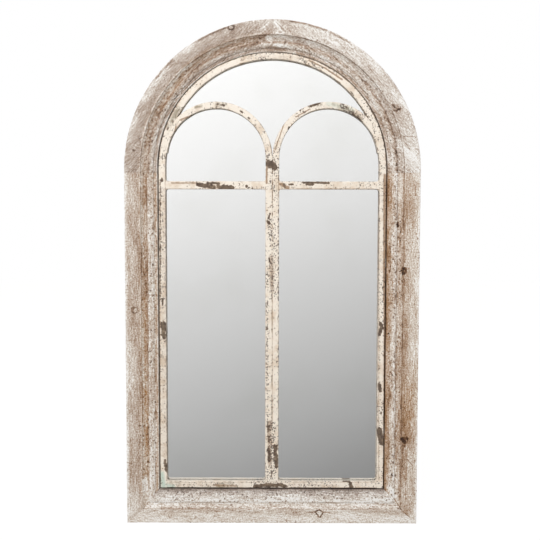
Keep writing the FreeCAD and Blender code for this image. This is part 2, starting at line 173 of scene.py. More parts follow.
@dataclass
class Skin:
    """A mesh in the making: a grid of points with its fields, or loose points and faces."""

    points: Array
    faces: list[tuple[int, ...]]
    fields: dict[str, Array] = field(default_factory=dict)

    def build(self, name: str, material: bpy.types.Material) -> bpy.types.Object:
        """Makes the Blender object.

        Args:
            name: the piece's name.
            material: its finish.

        Returns:
            The object, with one attribute for each field.
        """
        mesh = bpy.data.meshes.new(name)
        flat = self.points.reshape(-1, 3)
        mesh.from_pydata((flat * MM).tolist(), [], self.faces)
        for label, values in self.fields.items():
            kind, key = ("FLOAT_VECTOR", "vector") if values.size == flat.size else ("FLOAT", "value")
            attribute = mesh.attributes.new(label, kind, "POINT")
            attribute.data.foreach_set(key, values.astype(np.float32).ravel())
        mesh.materials.append(material)
        mesh.validate()
        piece = bpy.data.objects.new(name, mesh)
        bpy.context.scene.collection.objects.link(piece)
        return piece


def grid_faces(rows: int, columns: int, flip: bool) -> list[tuple[int, ...]]:
    """Faces of a closed section carried along a path, with both ends capped.

    Args:
        rows: stations along the path.
        columns: points round the section.
        flip: whether the faces turn the other way round.

    Returns:
        The faces, as numbers of points.
    """
    first = np.arange(rows - 1)[:, None] * columns
    here = np.arange(columns)[None, :]
    after = (here + 1) % columns
    quads = np.stack([first + here, first + after, first + columns + after, first + columns + here], axis=-1)
    quads = quads.reshape(-1, 4)
    if flip:
        quads = quads[:, ::-1]
    ends = [tuple(range(columns))[::-1], tuple(range((rows - 1) * columns, rows * columns))]
    if flip:
        ends = [end[::-1] for end in ends]
    return [tuple(quad) for quad in quads.tolist()] + ends


def smoothstep(low: float, high: float, values: Array) -> Array:
    """A smooth rise from 0 at low to 1 at high, or a fall where low is the larger."""
    share = np.clip((values - low) / (high - low), 0, 1)
    return share * share * (3 - 2 * share)


def between(start: Point, end: Point, steps: int) -> list[Point]:
    """Evenly spaced points from a start to just before an end."""
    (r0, d0), (r1, d1) = start, end
    return [(r0 + (r1 - r0) * i / steps, d0 + (d1 - d0) * i / steps) for i in range(steps)]


def sunk(section: Array, x: Array, z: Array, toward: Array, sink: Array) -> Array:
    """Moves the points of a closed section, laid along a path, in under its surface.

    Args:
        section: rows of distance out and depth.
        x: places across, for each station and row.
        z: heights.
        toward: the direction, at each place, in which the section's distance counts.
        sink: how far in each point goes.

    Returns:
        The points, with their three coordinates along the last axis.
    """
    ahead = np.roll(section, -1, axis=0)
    tangent = ahead - np.roll(section, 1, axis=0)
    normal = np.stack([-tangent[:, 1], tangent[:, 0]], axis=-1)
    normal /= np.linalg.norm(normal, axis=1, keepdims=True) + TINY
    area = np.sum(section[:, 0] * ahead[:, 1] - ahead[:, 0] * section[:, 1])
    shift = sink[..., None] * normal * np.sign(area)
    out, deep = shift[..., 0], FRONT_Y + section[:, 1] + shift[..., 1]
    return np.stack([x + out * toward[..., 0], deep, z + out * toward[..., 1]], axis=-1)


def stand_in(piece: bpy.types.Object, node: str) -> None:
    """Smooths a piece that rides with the mirror and stands for a node.

    Args:
        piece: the piece.
        node: the node that it replaces.
    """
    piece.data.shade_smooth()
    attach(piece, "mirror")
    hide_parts(node)
    LOG.info("%s: %d faces", piece.name, len(piece.data.polygons))


def dress(finish: bpy.types.Material, *nodes: str) -> None:
    """Gives a finish to nodes whose shape is kept.

    Args:
        finish: the material.
        *nodes: the nodes.
    """
    for name in nodes:
        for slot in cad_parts[name].material_slots:
            slot.material = finish
        LOG.info("%s: dressed with %s", name, finish.name)


# The camera, and marks that are placed through it

@dataclass(frozen=True)
class PhotoCamera:
    """The camera at the photograph's place. Angles are degrees, the picture is square."""

    place: tuple[float, float, float] = (4.43, -2062.25, 693.55)
    pitch_down: float = 4.147
    yaw_left: float = 0.2518
    roll: float = 0.1124
    focal_px: float = 968.76
    picture_px: float = 540.0
    sensor_mm: float = 36.0

    def axes(self) -> tuple[Vector, Vector, Vector]:
        """The camera's right, up and forward directions."""
        pitch, yaw, roll = (math.radians(a) for a in (self.pitch_down, self.yaw_left, self.roll))
        flat = math.cos(pitch)
        forward = Vector((-math.sin(yaw) * flat, math.cos(yaw) * flat, -math.sin(pitch)))
        level = Vector((math.cos(yaw), math.sin(yaw), 0))
        upward = level.cross(forward)
        right = level * math.cos(roll) + upward * math.sin(roll)
        up = upward * math.cos(roll) - level * math.sin(roll)
        return right, up, forward

    def cast(self, px: float, py: float, depth: float) -> Point:
        """Finds the place that a picture point shows on a plane of the object.

        Args:
            px: pixels from the picture's left.
            py: pixels from its top.
            depth: the plane's depth behind the frame's front.

        Returns:
            x and z in millimetres.
        """
        right, up, forward = self.axes()
        middle = self.picture_px / 2
        ray = forward + right * ((px - middle) / self.focal_px) + up * ((middle - py) / self.focal_px)
        reach = (FRONT_Y + depth - self.place[1]) / ray.y
        return self.place[0] + ray.x * reach, self.place[2] + ray.z * reach

    def build(self) -> None:
        """Puts the camera in the scene."""
        right, up, forward = self.axes()
        data = bpy.data.cameras.new("photo_camera")
        data.sensor_width = self.sensor_mm
        data.lens = self.focal_px * self.sensor_mm / self.picture_px
        camera = bpy.data.objects.new("photo_camera", data)
        turn = Matrix((right, up, -forward)).transposed().to_4x4()
        camera.matrix_world = Matrix.Translation(Vector(self.place) * MM) @ turn
        bpy.context.scene.collection.objects.link(camera)
        bpy.context.scene.camera = camera


CAMERA = PhotoCamera()


class Field(Enum):
    """What a mark changes on a surface."""

    DARK = "dark"
    WASH = "wash"
    TAN = "tan"
    CHIP = "chip"
    SPECK = "speck"
    STAIN = "stain"
    EDGE = "edge"
    GREEN = "green"


@dataclass(frozen=True)
class Mark:
    """A knot, crack, chip or patch, or a line of painted shade: a brush stroke between two picture points.

    Its radius and its dent are millimetres. Where it is hollow, it is a ring.
    """

    # How uneven its rim is, and how wide the inner rim of a ring, as shares of its radius
    RAGGED = 0.25
    HOLLOW_RIM = 0.2

    kind: Field
    start: Point
    end: Point
    radius: float
    strength: float = 1.0
    soft: float = 0.25
    dent: float = 0.0
    hollow: float = 0.0

    def weight(self, x: Array, z: Array, depth: float, ragged: Array) -> Array:
        """How strongly the mark covers each point of a surface.

        Args:
            x: places across.
            z: heights.
            depth: the depth of the surface that carries the mark.
            ragged: noise that makes the rim uneven.

        Returns:
            Values from 0 to 1.
        """
        ax, az = CAMERA.cast(*self.start, depth)
        bx, bz = CAMERA.cast(*self.end, depth)
        dx, dz = bx - ax, bz - az
        length = max(dx * dx + dz * dz, TINY)
        share = np.clip(((x - ax) * dx + (z - az) * dz) / length, 0, 1)
        away = np.hypot(x - ax - share * dx, z - az - share * dz) / self.radius + self.RAGGED * ragged
        solid = smoothstep(1 + self.soft, 1 - self.soft, away)
        if self.hollow:
            solid = solid * smoothstep(self.hollow - self.HOLLOW_RIM, self.hollow + self.HOLLOW_RIM, away)
        return solid


def strokes(kind: Field, rows: Sequence[Sequence[float]]) -> tuple[Mark, ...]:
    """Marks of one kind.

    Args:
        kind: what they change.
        rows: for each mark the x and y of its start and of its end in pixels, its radius in
            millimetres, and then its strength, softness, dent and hollow, as far as they are unusual.

    Returns:
        The marks.
    """
    return tuple(Mark(kind, (x0, y0), (x1, y1), *rest) for x0, y0, x1, y1, *rest in rows)


# Finishes

class Finish:
    """A finish. Each kind says what goes into the surface shader that they all end in."""

    name: str

    def sockets(self, tree: bpy.types.NodeTree) -> dict[str, Any]:
        """Adds the finish's own nodes.

        Args:
            tree: the material's node tree.

        Returns:
            What goes into each input of the surface shader.
        """
        raise NotImplementedError

    def material(self) -> bpy.types.Material:
        """Makes the material."""
        material, tree = new_tree(self.name)
        surface = add_node(tree, "BsdfPrincipled", self.sockets(tree))
        add_node(tree, "OutputMaterial", {0: surface})
        return material


@dataclass(frozen=True)
class LimewashedFir(Finish):
    """Fir boards, limewashed, rubbed back and left to weather.

    The lime has sunk into the wood, so its colour runs smoothly from brown dirt and painted shade in
    the hollows, through the pinkish grey of washed fibres, to chalky white at the edges. Fine streaks
    follow the board, and grit and flakes of lime speckle it. There is no shine.
    """

    name: str = "limewashed_fir"
    # Lightness of the surface and the colour that it has there
    shades: tuple[tuple[float, str], ...] = (
        (0.18, "#3c2d25"), (0.98, "#f8f6f3"), (0.34, "#6e5647"), (0.49, "#957c68"), (0.60, "#b19985"),
        (0.69, "#bfaea1"), (0.79, "#d5cabe"), (0.86, "#e2dbd2"),
    )
    # Length and width of each pattern's marks, its detail, and how far it swings the lightness
    patterns: tuple[tuple[float, ...], ...] = (
        (17.0, 1.9, 4.0, 0.78), (70.0, 17.0, 4.0, 0.44), (3.0, 2.6, 2.0, 0.88), (5.0, 4.4, 4.0, 0.0))
    # The flake pattern's range, and what it takes from the lightness or gives to it there
    specks: tuple[float, ...] = (0.56, 0.69, 0.0, -0.52)
    flakes: tuple[float, ...] = (0.44, 0.31, 0.0, 0.17)
    # How much the dark field takes from the lightness: dirt, knots and cracks, and a few strokes of painted
    # shade
    dirt_and_shade: float = 0.62
    relief: float = 0.7

    def sockets(self, tree: bpy.types.NodeTree) -> dict[str, Any]:
        """Reads the fields grain, tone, fleck, dark and tan of the mesh.

        Args:
            tree: the material's node tree.

        Returns:
            What goes into each input of the surface shader.
        """
        grain = add_node(tree, "Attribute", attribute_name="grain").outputs["Vector"]
        tone, fleck, dark, tan = [
            add_node(tree, "Attribute", attribute_name=name).outputs["Fac"]
            for name in ("tone", "fleck", "dark", "tan")]
        for along, across, detail, swing in self.patterns:
            scale = (1 / (along * MM), 1 / (across * MM), 1 / (across * MM))
            spot = add_node(tree, "VectorMath", {0: grain, 1: scale}, operation="MULTIPLY")
            pattern = add_node(
                tree, "TexNoise", {"Vector": spot, "Scale": 1.0, "Detail": detail, "Roughness": 0.6})
            if swing:
                part = add_node(
                    tree, "Math", {0: pattern, 1: swing, 2: -swing / 2}, operation="MULTIPLY_ADD")
                tone = add_node(tree, "Math", {0: tone, 1: part}, operation="ADD")
        specks, flakes = [
            add_node(
                tree, "MapRange", {0: pattern, **dict(enumerate(span, 1))},
                interpolation_type="SMOOTHSTEP") for span in (self.specks, self.flakes)]
        both = add_node(tree, "Math", {0: specks, 1: flakes}, operation="ADD")
        tone = add_node(tree, "Math", {0: both, 1: fleck, 2: tone}, operation="MULTIPLY_ADD")
        # The dark field darkens the wood with dirt, knots, cracks and a few strokes of painted shade
        marked = add_node(tree, "Math", {0: dark, 1: -self.dirt_and_shade, 2: tone}, operation="MULTIPLY_ADD")
        ramp = [(place, linear(colour)) for place, colour in self.shades]
        shade = add_node(tree, "ValToRGB", {0: marked}, ramp)
        richness = add_node(tree, "Math", {0: tan, 1: 1.0}, operation="ADD")
        return {
            "Base Color": add_node(tree, "HueSaturation", {"Saturation": richness, "Color": shade}),
            "Roughness": add_node(tree, "MapRange", {0: tone, 1: 0.3, 2: 0.9, 3: 0.72, 4: 0.92}),
            "IOR": 1.5,
            "Specular IOR Level": 0.3,
            "Normal": add_node(
                tree, "Bump", {"Height": marked, "Distance": self.relief * MM, "Strength": 0.5}),
        }


@dataclass(frozen=True)
class ChippedPaint(Finish):
    """Old cream oil paint, brushed on wrought bars and chipped down to rusted iron.

    The paint has a soft sheen and slight stains. Each chip is a sharp-edged dark brown pit, with a
    rim of rust. The chips are drawn no finer than a millimetre, because less doesn't show.
    """

    name: str = "chipped_cream_paint"
    cream: str = "#f6ecde"
    cream_shade: str = "#e6d5c1"
    stain: str = "#8f8068"
    rust: str = "#9a7858"
    iron: str = "#57483f"
    bare: str = "#84725f"
    dot: str = "#55443a"
    older_coat: str = "#c3d6c9"
    # Size, detail and roughness of the flecks, of the specks and of the clouds in the paint
    patterns: tuple[tuple[float, ...], ...] = ((5.4, 4.0, 0.62), (3.0, 2.0, 0.5), (26.0, 3.0, 0.6))
    thickness: float = 0.5

    def sockets(self, tree: bpy.types.NodeTree) -> dict[str, Any]:
        """Reads the fields chip, speck, stain, edge and green of the mesh.

        Args:
            tree: the material's node tree.

        Returns:
            What goes into each input of the surface shader.
        """
        place = add_node(tree, "TexCoord").outputs["Object"]
        chip, speck, stain, edge, green = [
            add_node(tree, "Attribute", attribute_name=name).outputs["Fac"]
            for name in ("chip", "speck", "stain", "edge", "green")]
        fleck, fine, cloud = [
            add_node(
                tree, "TexNoise",
                {"Vector": place, "Scale": 1 / (size * MM), "Detail": detail, "Roughness": roughness})
            for size, detail, roughness in self.patterns]
        line = add_node(tree, "Math", {0: fleck, 1: 0.6, 2: edge}, operation="MULTIPLY_ADD")
        wear = add_node(tree, "Math", {0: fleck, 1: chip}, operation="ADD")
        dotted = add_node(tree, "Math", {0: speck, 1: 0.36, 2: fine}, operation="MULTIPLY_ADD")
        # Where each kind of wear starts and is full, and how strong it is at both
        plan = (
            (fleck, 0.38, 0.56, 0.3, 1.0), (line, 0.45, 1.05, 0.0, 0.85), (wear, 0.62, 0.70, 0.0, 0.75),
            (wear, 0.67, 0.73, 0.0, 1.0), (dotted, 0.70, 0.78, 0.0, 0.9))
        blotch, lined, rim, pit, dots = [
            add_node(tree, "MapRange", dict(enumerate(row)), interpolation_type="SMOOTHSTEP")
            for row in plan]
        stained = add_node(tree, "Math", {0: stain, 1: blotch}, operation="MULTIPLY")
        ramp = [(0.33, linear(self.cream_shade)), (0.51, linear(self.cream))]
        colour = add_node(tree, "ValToRGB", {0: cloud}, ramp)
        ramp = [(0.40, linear(self.bare)), (0.62, linear(self.iron))]
        metal = add_node(tree, "ValToRGB", {0: fleck}, ramp)
        rust = linear(self.rust)
        layers = (
            (green, linear(self.older_coat)), (stained, linear(self.stain)), (lined, rust), (rim, rust),
            (pit, metal), (dots, linear(self.dot)))
        for share, over in layers:
            colour = add_node(tree, "Mix", {0: share, 6: colour, 7: over}, data_type="RGBA").outputs[2]
        swell = add_node(tree, "Math", {0: cloud, 1: 0.6, 2: 1.0}, operation="MULTIPLY_ADD")
        height = add_node(tree, "Math", {0: swell, 1: pit}, operation="SUBTRACT")
        return {
            "Base Color": colour,
            "Roughness": add_node(tree, "MapRange", {0: pit, 3: 0.52, 4: 0.85}),
            "IOR": 1.5,
            "Normal": add_node(
                tree, "Bump", {"Height": height, "Distance": self.thickness * MM, "Strength": 0.5}),
        }


@dataclass(frozen=True)
class FloatGlass(Finish):
    """Float glass, 4 mm, clear and very slightly waved."""

    name: str = "float_glass"
    tint: str = "#fefefe"
    ior: float = 1.52
    ripple: float = 240.0
    ripple_height: float = 0.02

    def sockets(self, tree: bpy.types.NodeTree) -> dict[str, Any]:
        """Adds the finish's own nodes.

        Args:
            tree: the material's node tree.

        Returns:
            What goes into each input of the surface shader.
        """
        place = add_node(tree, "TexCoord").outputs["Object"]
        wave = add_node(tree, "TexNoise", {"Vector": place, "Scale": 1 / (self.ripple * MM), "Detail": 0.0})
        bump = add_node(
            tree, "Bump", {"Height": wave, "Distance": self.ripple_height * MM, "Strength": 0.2})
        return {
            "Base Color": linear(self.tint), "Roughness": 0.0, "IOR": self.ior, "Transmission Weight": 1.0,
            "Normal": bump,
        }


@dataclass(frozen=True)
class Silvering(Finish):
    """Silver laid on the back of the glass, which gives the mirror's image, a touch darker than life."""

    name: str = "silvering"
    silver: str = "#f9f9f8"
    worn: str = "#f5f5f3"
    bloom: float = 180.0

    def sockets(self, tree: bpy.types.NodeTree) -> dict[str, Any]:
        """Adds the finish's own nodes.

        Args:
            tree: the material's node tree.

        Returns:
            What goes into each input of the surface shader.
        """
        place = add_node(tree, "TexCoord").outputs["Object"]
        haze = add_node(tree, "TexNoise", {"Vector": place, "Scale": 1 / (self.bloom * MM), "Detail": 4.0})
        ramp = [(0.3, linear(self.worn)), (0.5, linear(self.silver))]
        colour = add_node(tree, "ValToRGB", {0: haze}, ramp)
        return {"Base Color": colour, "Metallic": 1.0, "Roughness": 0.0}


@dataclass(frozen=True)
class PlainFinish(Finish):
    """A finish of two near colours in a fine pattern, for the fixings that sit out of sight."""

    name: str
    light: str
    dark: str
    grit: tuple[float, float, float]
    roughness: Point
    metallic: float = 0.0
    ior: float = 1.5
    relief: float = 0.1

    def sockets(self, tree: bpy.types.NodeTree) -> dict[str, Any]:
        """Adds the finish's own nodes.

        Args:
            tree: the material's node tree.

        Returns:
            What goes into each input of the surface shader.
        """
        place = add_node(tree, "TexCoord").outputs["Object"]
        scale = tuple(1 / (size * MM) for size in self.grit)
        spot = add_node(tree, "VectorMath", {0: place, 1: scale}, operation="MULTIPLY")
        pattern = add_node(
            tree, "TexNoise", {"Vector": spot, "Scale": 1.0, "Detail": 4.0, "Roughness": 0.6})
        ramp = [(0.35, linear(self.dark)), (0.65, linear(self.light))]
        least, most = self.roughness
        values = {
            "Base Color": add_node(tree, "ValToRGB", {0: pattern}, ramp),
            "Roughness": add_node(tree, "MapRange", {0: pattern, 3: least, 4: most}),
            "Metallic": self.metallic,
            "Normal": add_node(
                tree, "Bump", {"Height": pattern, "Distance": self.relief * MM, "Strength": 0.5}),
        }
        return values if self.metallic else {**values, "IOR": self.ior}


# Turned beech: pale, even and fine
BEECH = PlainFinish("turned_beech", "#cfa97c", "#b58c60", (1.2, 1.2, 9.0), (0.6, 0.75))
# Hardboard: brown pressed fibre, with the mesh of the press on its rough face
HARDBOARD = PlainFinish("hardboard", "#6b4a30", "#442c1b", (2.2, 2.2, 2.2), (0.8, 0.95), relief=0.3)
# Zinc plate: dull silver, brushed by handling, with patches of bloom
ZINC = PlainFinish(
    "zinc_plated_steel", "#c9c7c0", "#96948d", (6.0, 6.0, 1.4), (0.32, 0.5), metallic=1.0, relief=0.03)
# Moulded rubber: black, matt
RUBBER = PlainFinish("moulded_rubber", "#26262a", "#17171a", (1.0, 1.0, 1.0), (0.7, 0.85), relief=0.05)


# The wooden frame

@dataclass(frozen=True)
class Weathering:
    """How one board has weathered, how full of lime its quirk is, and how much shade is painted into its
    creases.

    The tones say how light the members are, outwards from the sight edge: wall, fillet, heel, ovolo,
    arris, quirk, cove, step, inner band, band, rim and edge.
    """

    tones: tuple[float, ...]
    filled: float
    side: float = 0.66
    back: float = 0.52
    cove_warmth: float = 0.0
    band_warmth: float = 0.0
    lip_warmth: float = 0.0
    speckle: float = 1.0
    mottle: float = 0.06
    # How dark the thin lines of painted shade, with some dirt, in the creases are
    crease_shade: float = 0.1

    # Where each member lies, as a distance out from the sight edge, and how speckled it is
    PLACES = (0.2, 3.5, 8.5, 13.5, 19.0, 21.8, 27.0, 33.0, 39.0, 50.0, 61.0, 67.5)
    SPECKLES = (0.3, 1.0, 1.0, 1.0, 1.1, 0.9, 0.8, 0.6, 0.4, 0.3, 0.4, 0.7)
    # Where the warmth of the lip, of its end, of none, of the cove and of the band is reached
    WARM_PLACES = (4.0, 12.0, 18.0, 24.0, 33.0, 40.0)
    # Where painted shade, with some dirt, lies in a thin line: the place, the reach and the share of the
    # crease's strength
    SHADED_CREASES = ((33.2, 0.9, 1.0), (21.6, 0.9, 0.7), (7.4, 0.7, 0.5))

    def line(self, r: Array) -> Array:
        """How dark the thin lines of painted shade, with some dirt, are at each distance out from the sight
        edge.
        """
        lines = [share * np.exp(-(((r - place) / reach) ** 2)) for place, reach, share in self.SHADED_CREASES]
        return self.crease_shade * np.max(lines, axis=0)

    def across(self, r: Array, depth: Array) -> tuple[Array, Array, Array]:
        """The lightness, the speckle and the warmth of colour at each point of the section.

        Args:
            r: distances out from the sight edge, as on a stile.
            depth: depths behind the front.

        Returns:
            The lightness, the speckle and the warmth, which is below 0 where the colour is greyer.
        """
        tone = np.interp(r, self.PLACES, self.tones)
        fleck = self.speckle * np.interp(r, self.PLACES, self.SPECKLES)
        tone = np.where((r > 60) & (depth > 3), self.side, tone)
        rear = (depth > 41.9) | ((depth > 27.9) & (r < 30))
        warm = np.interp(
            r, self.WARM_PLACES,
            (self.lip_warmth, self.lip_warmth / 2, 0.0, self.cove_warmth, self.cove_warmth, self.band_warmth))
        return np.where(rear, self.back, tone), fleck, warm


@dataclass(frozen=True)
class Moulding:
    """The section of the frame. Members are distances out from the sight edge, with their depths."""

    sight_r: float = 243.0
    side_width: float = 68.0
    foot_width: float = 70.0
    frame_depth: float = 42.0
    rebate_width: float = 12.0
    shoulder_depth: float = 28.0
    edge_ease: float = 1.5
    lip: tuple[Point, ...] = ((0.0, 28.0), (0.0, 14.0), (0.8, 13.2), (6.8, 13.2), (7.6, 10.8))
    ovolo: tuple[Point, ...] = ((7.6, 10.8), (14.1, 7.3), (20.6, 7.4))
    quirk: tuple[Point, ...] = ((20.6, 7.4), (21.0, 10.8), (22.6, 10.8), (23.4, 9.2))
    cove: tuple[Point, ...] = ((23.4, 9.2), (27.5, 7.8), (31.6, 4.2))
    step: tuple[Point, ...] = ((31.6, 4.2), (32.8, 3.6), (33.8, 0.0))
    spacing: float = 1.0
    coarse: float = 4.0
    # How far out the members lie on the rail, where the same ones lie on a stile
    stile_places: tuple[float, ...] = (0.0, 7.6, 20.6, 33.8, 68.0)
    rail_places: tuple[float, ...] = (0.0, 7.6, 26.6, 39.8, 70.0)
    # Where each arris lies, how far its wear reaches, and how deep it is
    arrises: tuple[tuple[float, ...], ...] = (
        (68.0, 2.6, 0.3), (33.6, 1.4, 0.55), (20.2, 1.6, 0.55), (7.4, 1.0, 0.55), (0.4, 1.0, 0.4))
    least_wear: float = 0.12
    worn_depth: float = 14.2

    def on_rail(self, section: Array) -> Array:
        """Widens a stile's section to the rail's: its ovolo is wider, and what follows lies further out.

        Args:
            section: a stile's section.

        Returns:
            The rail's section.
        """
        wide = section.copy()
        rebate = (section[:, 1] > self.shoulder_depth - 0.1) & (section[:, 0] < self.rebate_width + 0.1)
        moved = np.interp(section[:, 0], self.stile_places, self.rail_places)
        wide[:, 0] = np.where(rebate, section[:, 0], moved)
        return wide

    def runs(self) -> list[tuple[tuple[Point, ...], float, bool]]:
        """The section's runs, each with the spacing of its points and whether it is an arc."""
        outer = self.side_width
        slack = self.edge_ease * (1 - math.sqrt(0.5))
        corner = ((outer - self.edge_ease, 0.0), (outer - slack, slack), (outer, self.edge_ease))
        back = (corner[2], (outer, self.frame_depth), (self.rebate_width, self.frame_depth),
                (self.rebate_width, self.shoulder_depth), self.lip[0])
        return [
            (self.lip, self.spacing, False),
            (self.ovolo, self.spacing, True),
            (self.quirk, self.spacing * 0.6, False),
            (self.cove, self.spacing, True),
            (self.step, self.spacing * 0.7, False),
            ((self.step[-1], corner[0]), self.spacing, False),
            (corner, self.spacing * 0.5, True),
            (back, self.coarse, False),
        ]

    def section(self, filled: float) -> Array:
        """Samples a stile's section round, starting at the back of the sight edge.

        Args:
            filled: how full of lime the quirk is, from 0 to 1.

        Returns:
            Rows of distance out and depth.
        """
        points: list[Point] = []
        for run, spacing, curved in self.runs():
            if curved:
                run = self.arc(run, spacing)
            for start, end in zip(run, run[1:]):
                points += between(start, end, 1 if curved else max(1, round(math.dist(start, end) / spacing)))
        section = np.array(points)
        (start, start_depth), (end, end_depth) = self.quirk[0], self.quirk[-1]
        groove = (section[:, 0] > start) & (section[:, 0] < end) & (section[:, 1] < self.lip[2][1])
        level = np.interp(section[:, 0], (start, end), (start_depth, end_depth))
        section[groove, 1] += (level - section[:, 1])[groove] * filled
        return section

    @staticmethod
    def arc(run: Sequence[Point], spacing: float) -> list[Point]:
        """Samples the smooth curve through three points of a section.

        Args:
            run: the three points.
            spacing: how far apart the samples lie.

        Returns:
            The samples.
        """
        (r0, d0), (r1, d1), (r2, d2) = run
        count = max(3, round(math.hypot(r2 - r0, d2 - d0) / spacing))
        curve = []
        for i in range(count + 1):
            t = i / count
            a, b, c = (1 - t) * (1 - 2 * t), 4 * t * (1 - t), t * (2 * t - 1)
            curve.append((a * r0 + b * r1 + c * r2, a * d0 + b * d1 + c * d2))
        return curve

    def wear(self, section: Array) -> Array:
        """How far use has rounded each point of a stile's section, most at its arrises.

        Args:
            section: a stile's section.

        Returns:
            The wear of each point.
        """
        r, depth = section[:, 0], section[:, 1]
        wear = np.full(len(r), self.least_wear)
        for arris, reach, most in self.arrises:
            near = np.exp(-(((r - arris) / reach) ** 2)) * (depth < self.worn_depth)
            wear = np.maximum(wear, most * near)
        return wear


MOULDING = Moulding()


@dataclass
class Layout:
    """A section laid along a path.

    The section has rows of distance out and depth. For each station and each row, x and z are the
    place, toward is the outward direction, joint is the distance from the nearer joint, and beside is
    the share of the next board's weather.
    """

    section: Array
    x: Array
    z: Array
    toward: Array
    joint: Array
    beside: Array | float = 0.0


@dataclass
class Board:
    """One wooden piece: a section carried along a path, with grain, weather and marks."""

    name: str
    weather: Weathering
    marks: Sequence[Mark]
    seed: int
    grain: tuple[float, float] = (0.0, 1.0)
    station: float = 1.2
    joint_gap: float = 0.2
    joint_dirt: float = 0.10
    mark_depth: float = 3.0
    drift: float = 1.6
    furrow: float = 0.22
    next_weather: Weathering | None = None

    # The mouldings lie in front of the first depth and the rebate behind the second, where less wears
    MOULDED_DEPTH = 14.0
    REBATE_DEPTH = 27.0
    REBATE_WEAR = 0.3
    # How far from a joint its gap and its dirt reach
    GAP_REACH = 0.8
    DIRT_REACH = 0.9
    # How far apart the boards lie in the log, so that no two share their grain
    BOARD_STRIDE = 997
    # The noises: the cell along the grain, across it and in depth, and the octaves
    DRIFTING = ((40.0, 40.0, 40.0), 2)
    FLECKED = ((60.0, 20.0, 20.0), 2)
    MOTTLED = ((55.0, 13.0, 13.0), 3)
    BROKEN = ((36.0, 36.0, 36.0), 3)
    RAGGED = ((3.2, 3.2, 3.2), 2)
    BITTEN = ((17.0, 6.0, 6.0), 3)
    FURROWED = ((70.0, 2.6, 2.6), 2)

    def stations(self, length: float) -> Array:
        """Shares along the path, closer together near both ends."""
        inner = np.linspace(2.0, length - 2.0, int(length / self.station))
        ends = np.array([0.0, 0.3, 0.7, 1.2])
        return np.concatenate([ends, inner, (length - ends)[::-1]]) / length

    def lay_out(self, section: Array) -> Layout:
        """Lays a stile's section along the board's path, changed to the board's own.

        Args:
            section: a stile's section.

        Returns:
            The section along the board's path.
        """
        raise NotImplementedError

    def flipped(self) -> bool:
        """Whether the faces turn the other way round."""
        return False

    def build(self, finish: bpy.types.Material) -> bpy.types.Object:
        """Makes the board, worn and dressed.

        Args:
            finish: the material.

        Returns:
            The piece, which rides with the mirror and stands for the node of its name.
        """
        usual = MOULDING.section(self.weather.filled)
        laid = self.lay_out(usual)
        section, x, z, joint = laid.section, laid.x, laid.z, laid.joint
        noise = SmoothNoise(self.seed)
        depth = np.broadcast_to(section[:, 1], x.shape)
        moulded = section[:, 1] < self.MOULDED_DEPTH
        along = x * self.grain[0] + z * self.grain[1]
        across = x * self.grain[1] - z * self.grain[0]
        grain = np.stack([along + self.BOARD_STRIDE * self.seed, across, depth], axis=-1)

        drift = self.drift * noise.at(grain, *self.DRIFTING) * moulded
        wide = np.broadcast_to(usual[:, 0], x.shape) + drift
        tone, fleck, tan = self.weather.across(wide, depth)
        if self.next_weather:
            beyond, _, hue = self.next_weather.across(wide, depth)
            tone = tone + laid.beside * (beyond - tone)
            tan = tan + laid.beside * (hue - tan)
        fleck = fleck * np.clip(1 + 0.6 * noise.at(grain, *self.FLECKED), 0.3, 1.8)
        tone = tone + self.weather.mottle * noise.at(grain + 71.0, *self.MOTTLED)
        broken = np.clip(0.75 + 0.9 * noise.at(grain + 37.0, *self.BROKEN), 0, 1.3)
        # Thin lines of painted shade, with some dirt, at the step, the quirk and the lip's step
        tone = tone - self.weather.line(usual[:, 0]) * broken * moulded
        dark = np.zeros_like(x)
        dents = np.zeros_like(x)
        fields = {Field.WASH: tone, Field.DARK: dark, Field.TAN: tan}
        ragged = noise.at(np.stack([x, z, depth], axis=-1), *self.RAGGED)
        for mark in self.marks:
            weight = mark.weight(x, z, self.mark_depth, ragged) * (depth < self.REBATE_DEPTH)
            values = fields[mark.kind]
            if mark.kind is Field.DARK:
                np.maximum(values, weight * mark.strength, out=values)
            else:
                values += weight * mark.strength
            dents += weight * mark.dent

        bite = np.clip(0.55 + 0.8 * noise.at(grain, *self.BITTEN), 0, 1.6)
        furrow = self.furrow * np.clip(noise.at(grain, *self.FURROWED), 0, 1)
        gap = self.joint_gap * np.exp(-((joint / self.GAP_REACH) ** 2))
        sink = MOULDING.wear(usual) * bite + furrow + dents + gap
        sink = np.where(depth > self.REBATE_DEPTH, np.minimum(sink, self.REBATE_WEAR), sink)
        dark = np.maximum(dark, self.joint_dirt * np.exp(-((joint / self.DIRT_REACH) ** 2)))
        points = sunk(section, x, z, laid.toward, sink)
        skin = Skin(points, grid_faces(*x.shape, self.flipped()), {
            "grain": grain * MM, "tone": tone, "fleck": fleck, "dark": np.clip(dark, 0, 1), "tan": tan,
        })
        piece = skin.build(f"{self.name}_board", finish)
        stand_in(piece, self.name)
        return piece


@dataclass
class Stile(Board):
    """An upright, mitred at its foot."""

    side: int = 1
    top_z: float = 750.0

    def flipped(self) -> bool:
        """The left stile's faces turn the other way round."""
        return self.side > 0

    def lay_out(self, section: Array) -> Layout:
        """Lays the section from the mitre up to the joint with the arch.

        Args:
            section: a stile's section.

        Returns:
            The section along the board's path.
        """
        m = MOULDING
        share = self.stations(self.top_z)[:, None]
        foot = m.foot_width - np.interp(section[:, 0], m.stile_places, m.rail_places)
        z = foot[None, :] + share * (self.top_z - foot[None, :])
        x = np.broadcast_to(self.side * (m.sight_r + section[:, 0]), z.shape)
        toward = np.zeros(z.shape + (2,))
        toward[..., 0] = self.side
        joint = np.minimum((z - foot) * MITRE, self.top_z - z)
        return Layout(section, x, z, toward, joint)


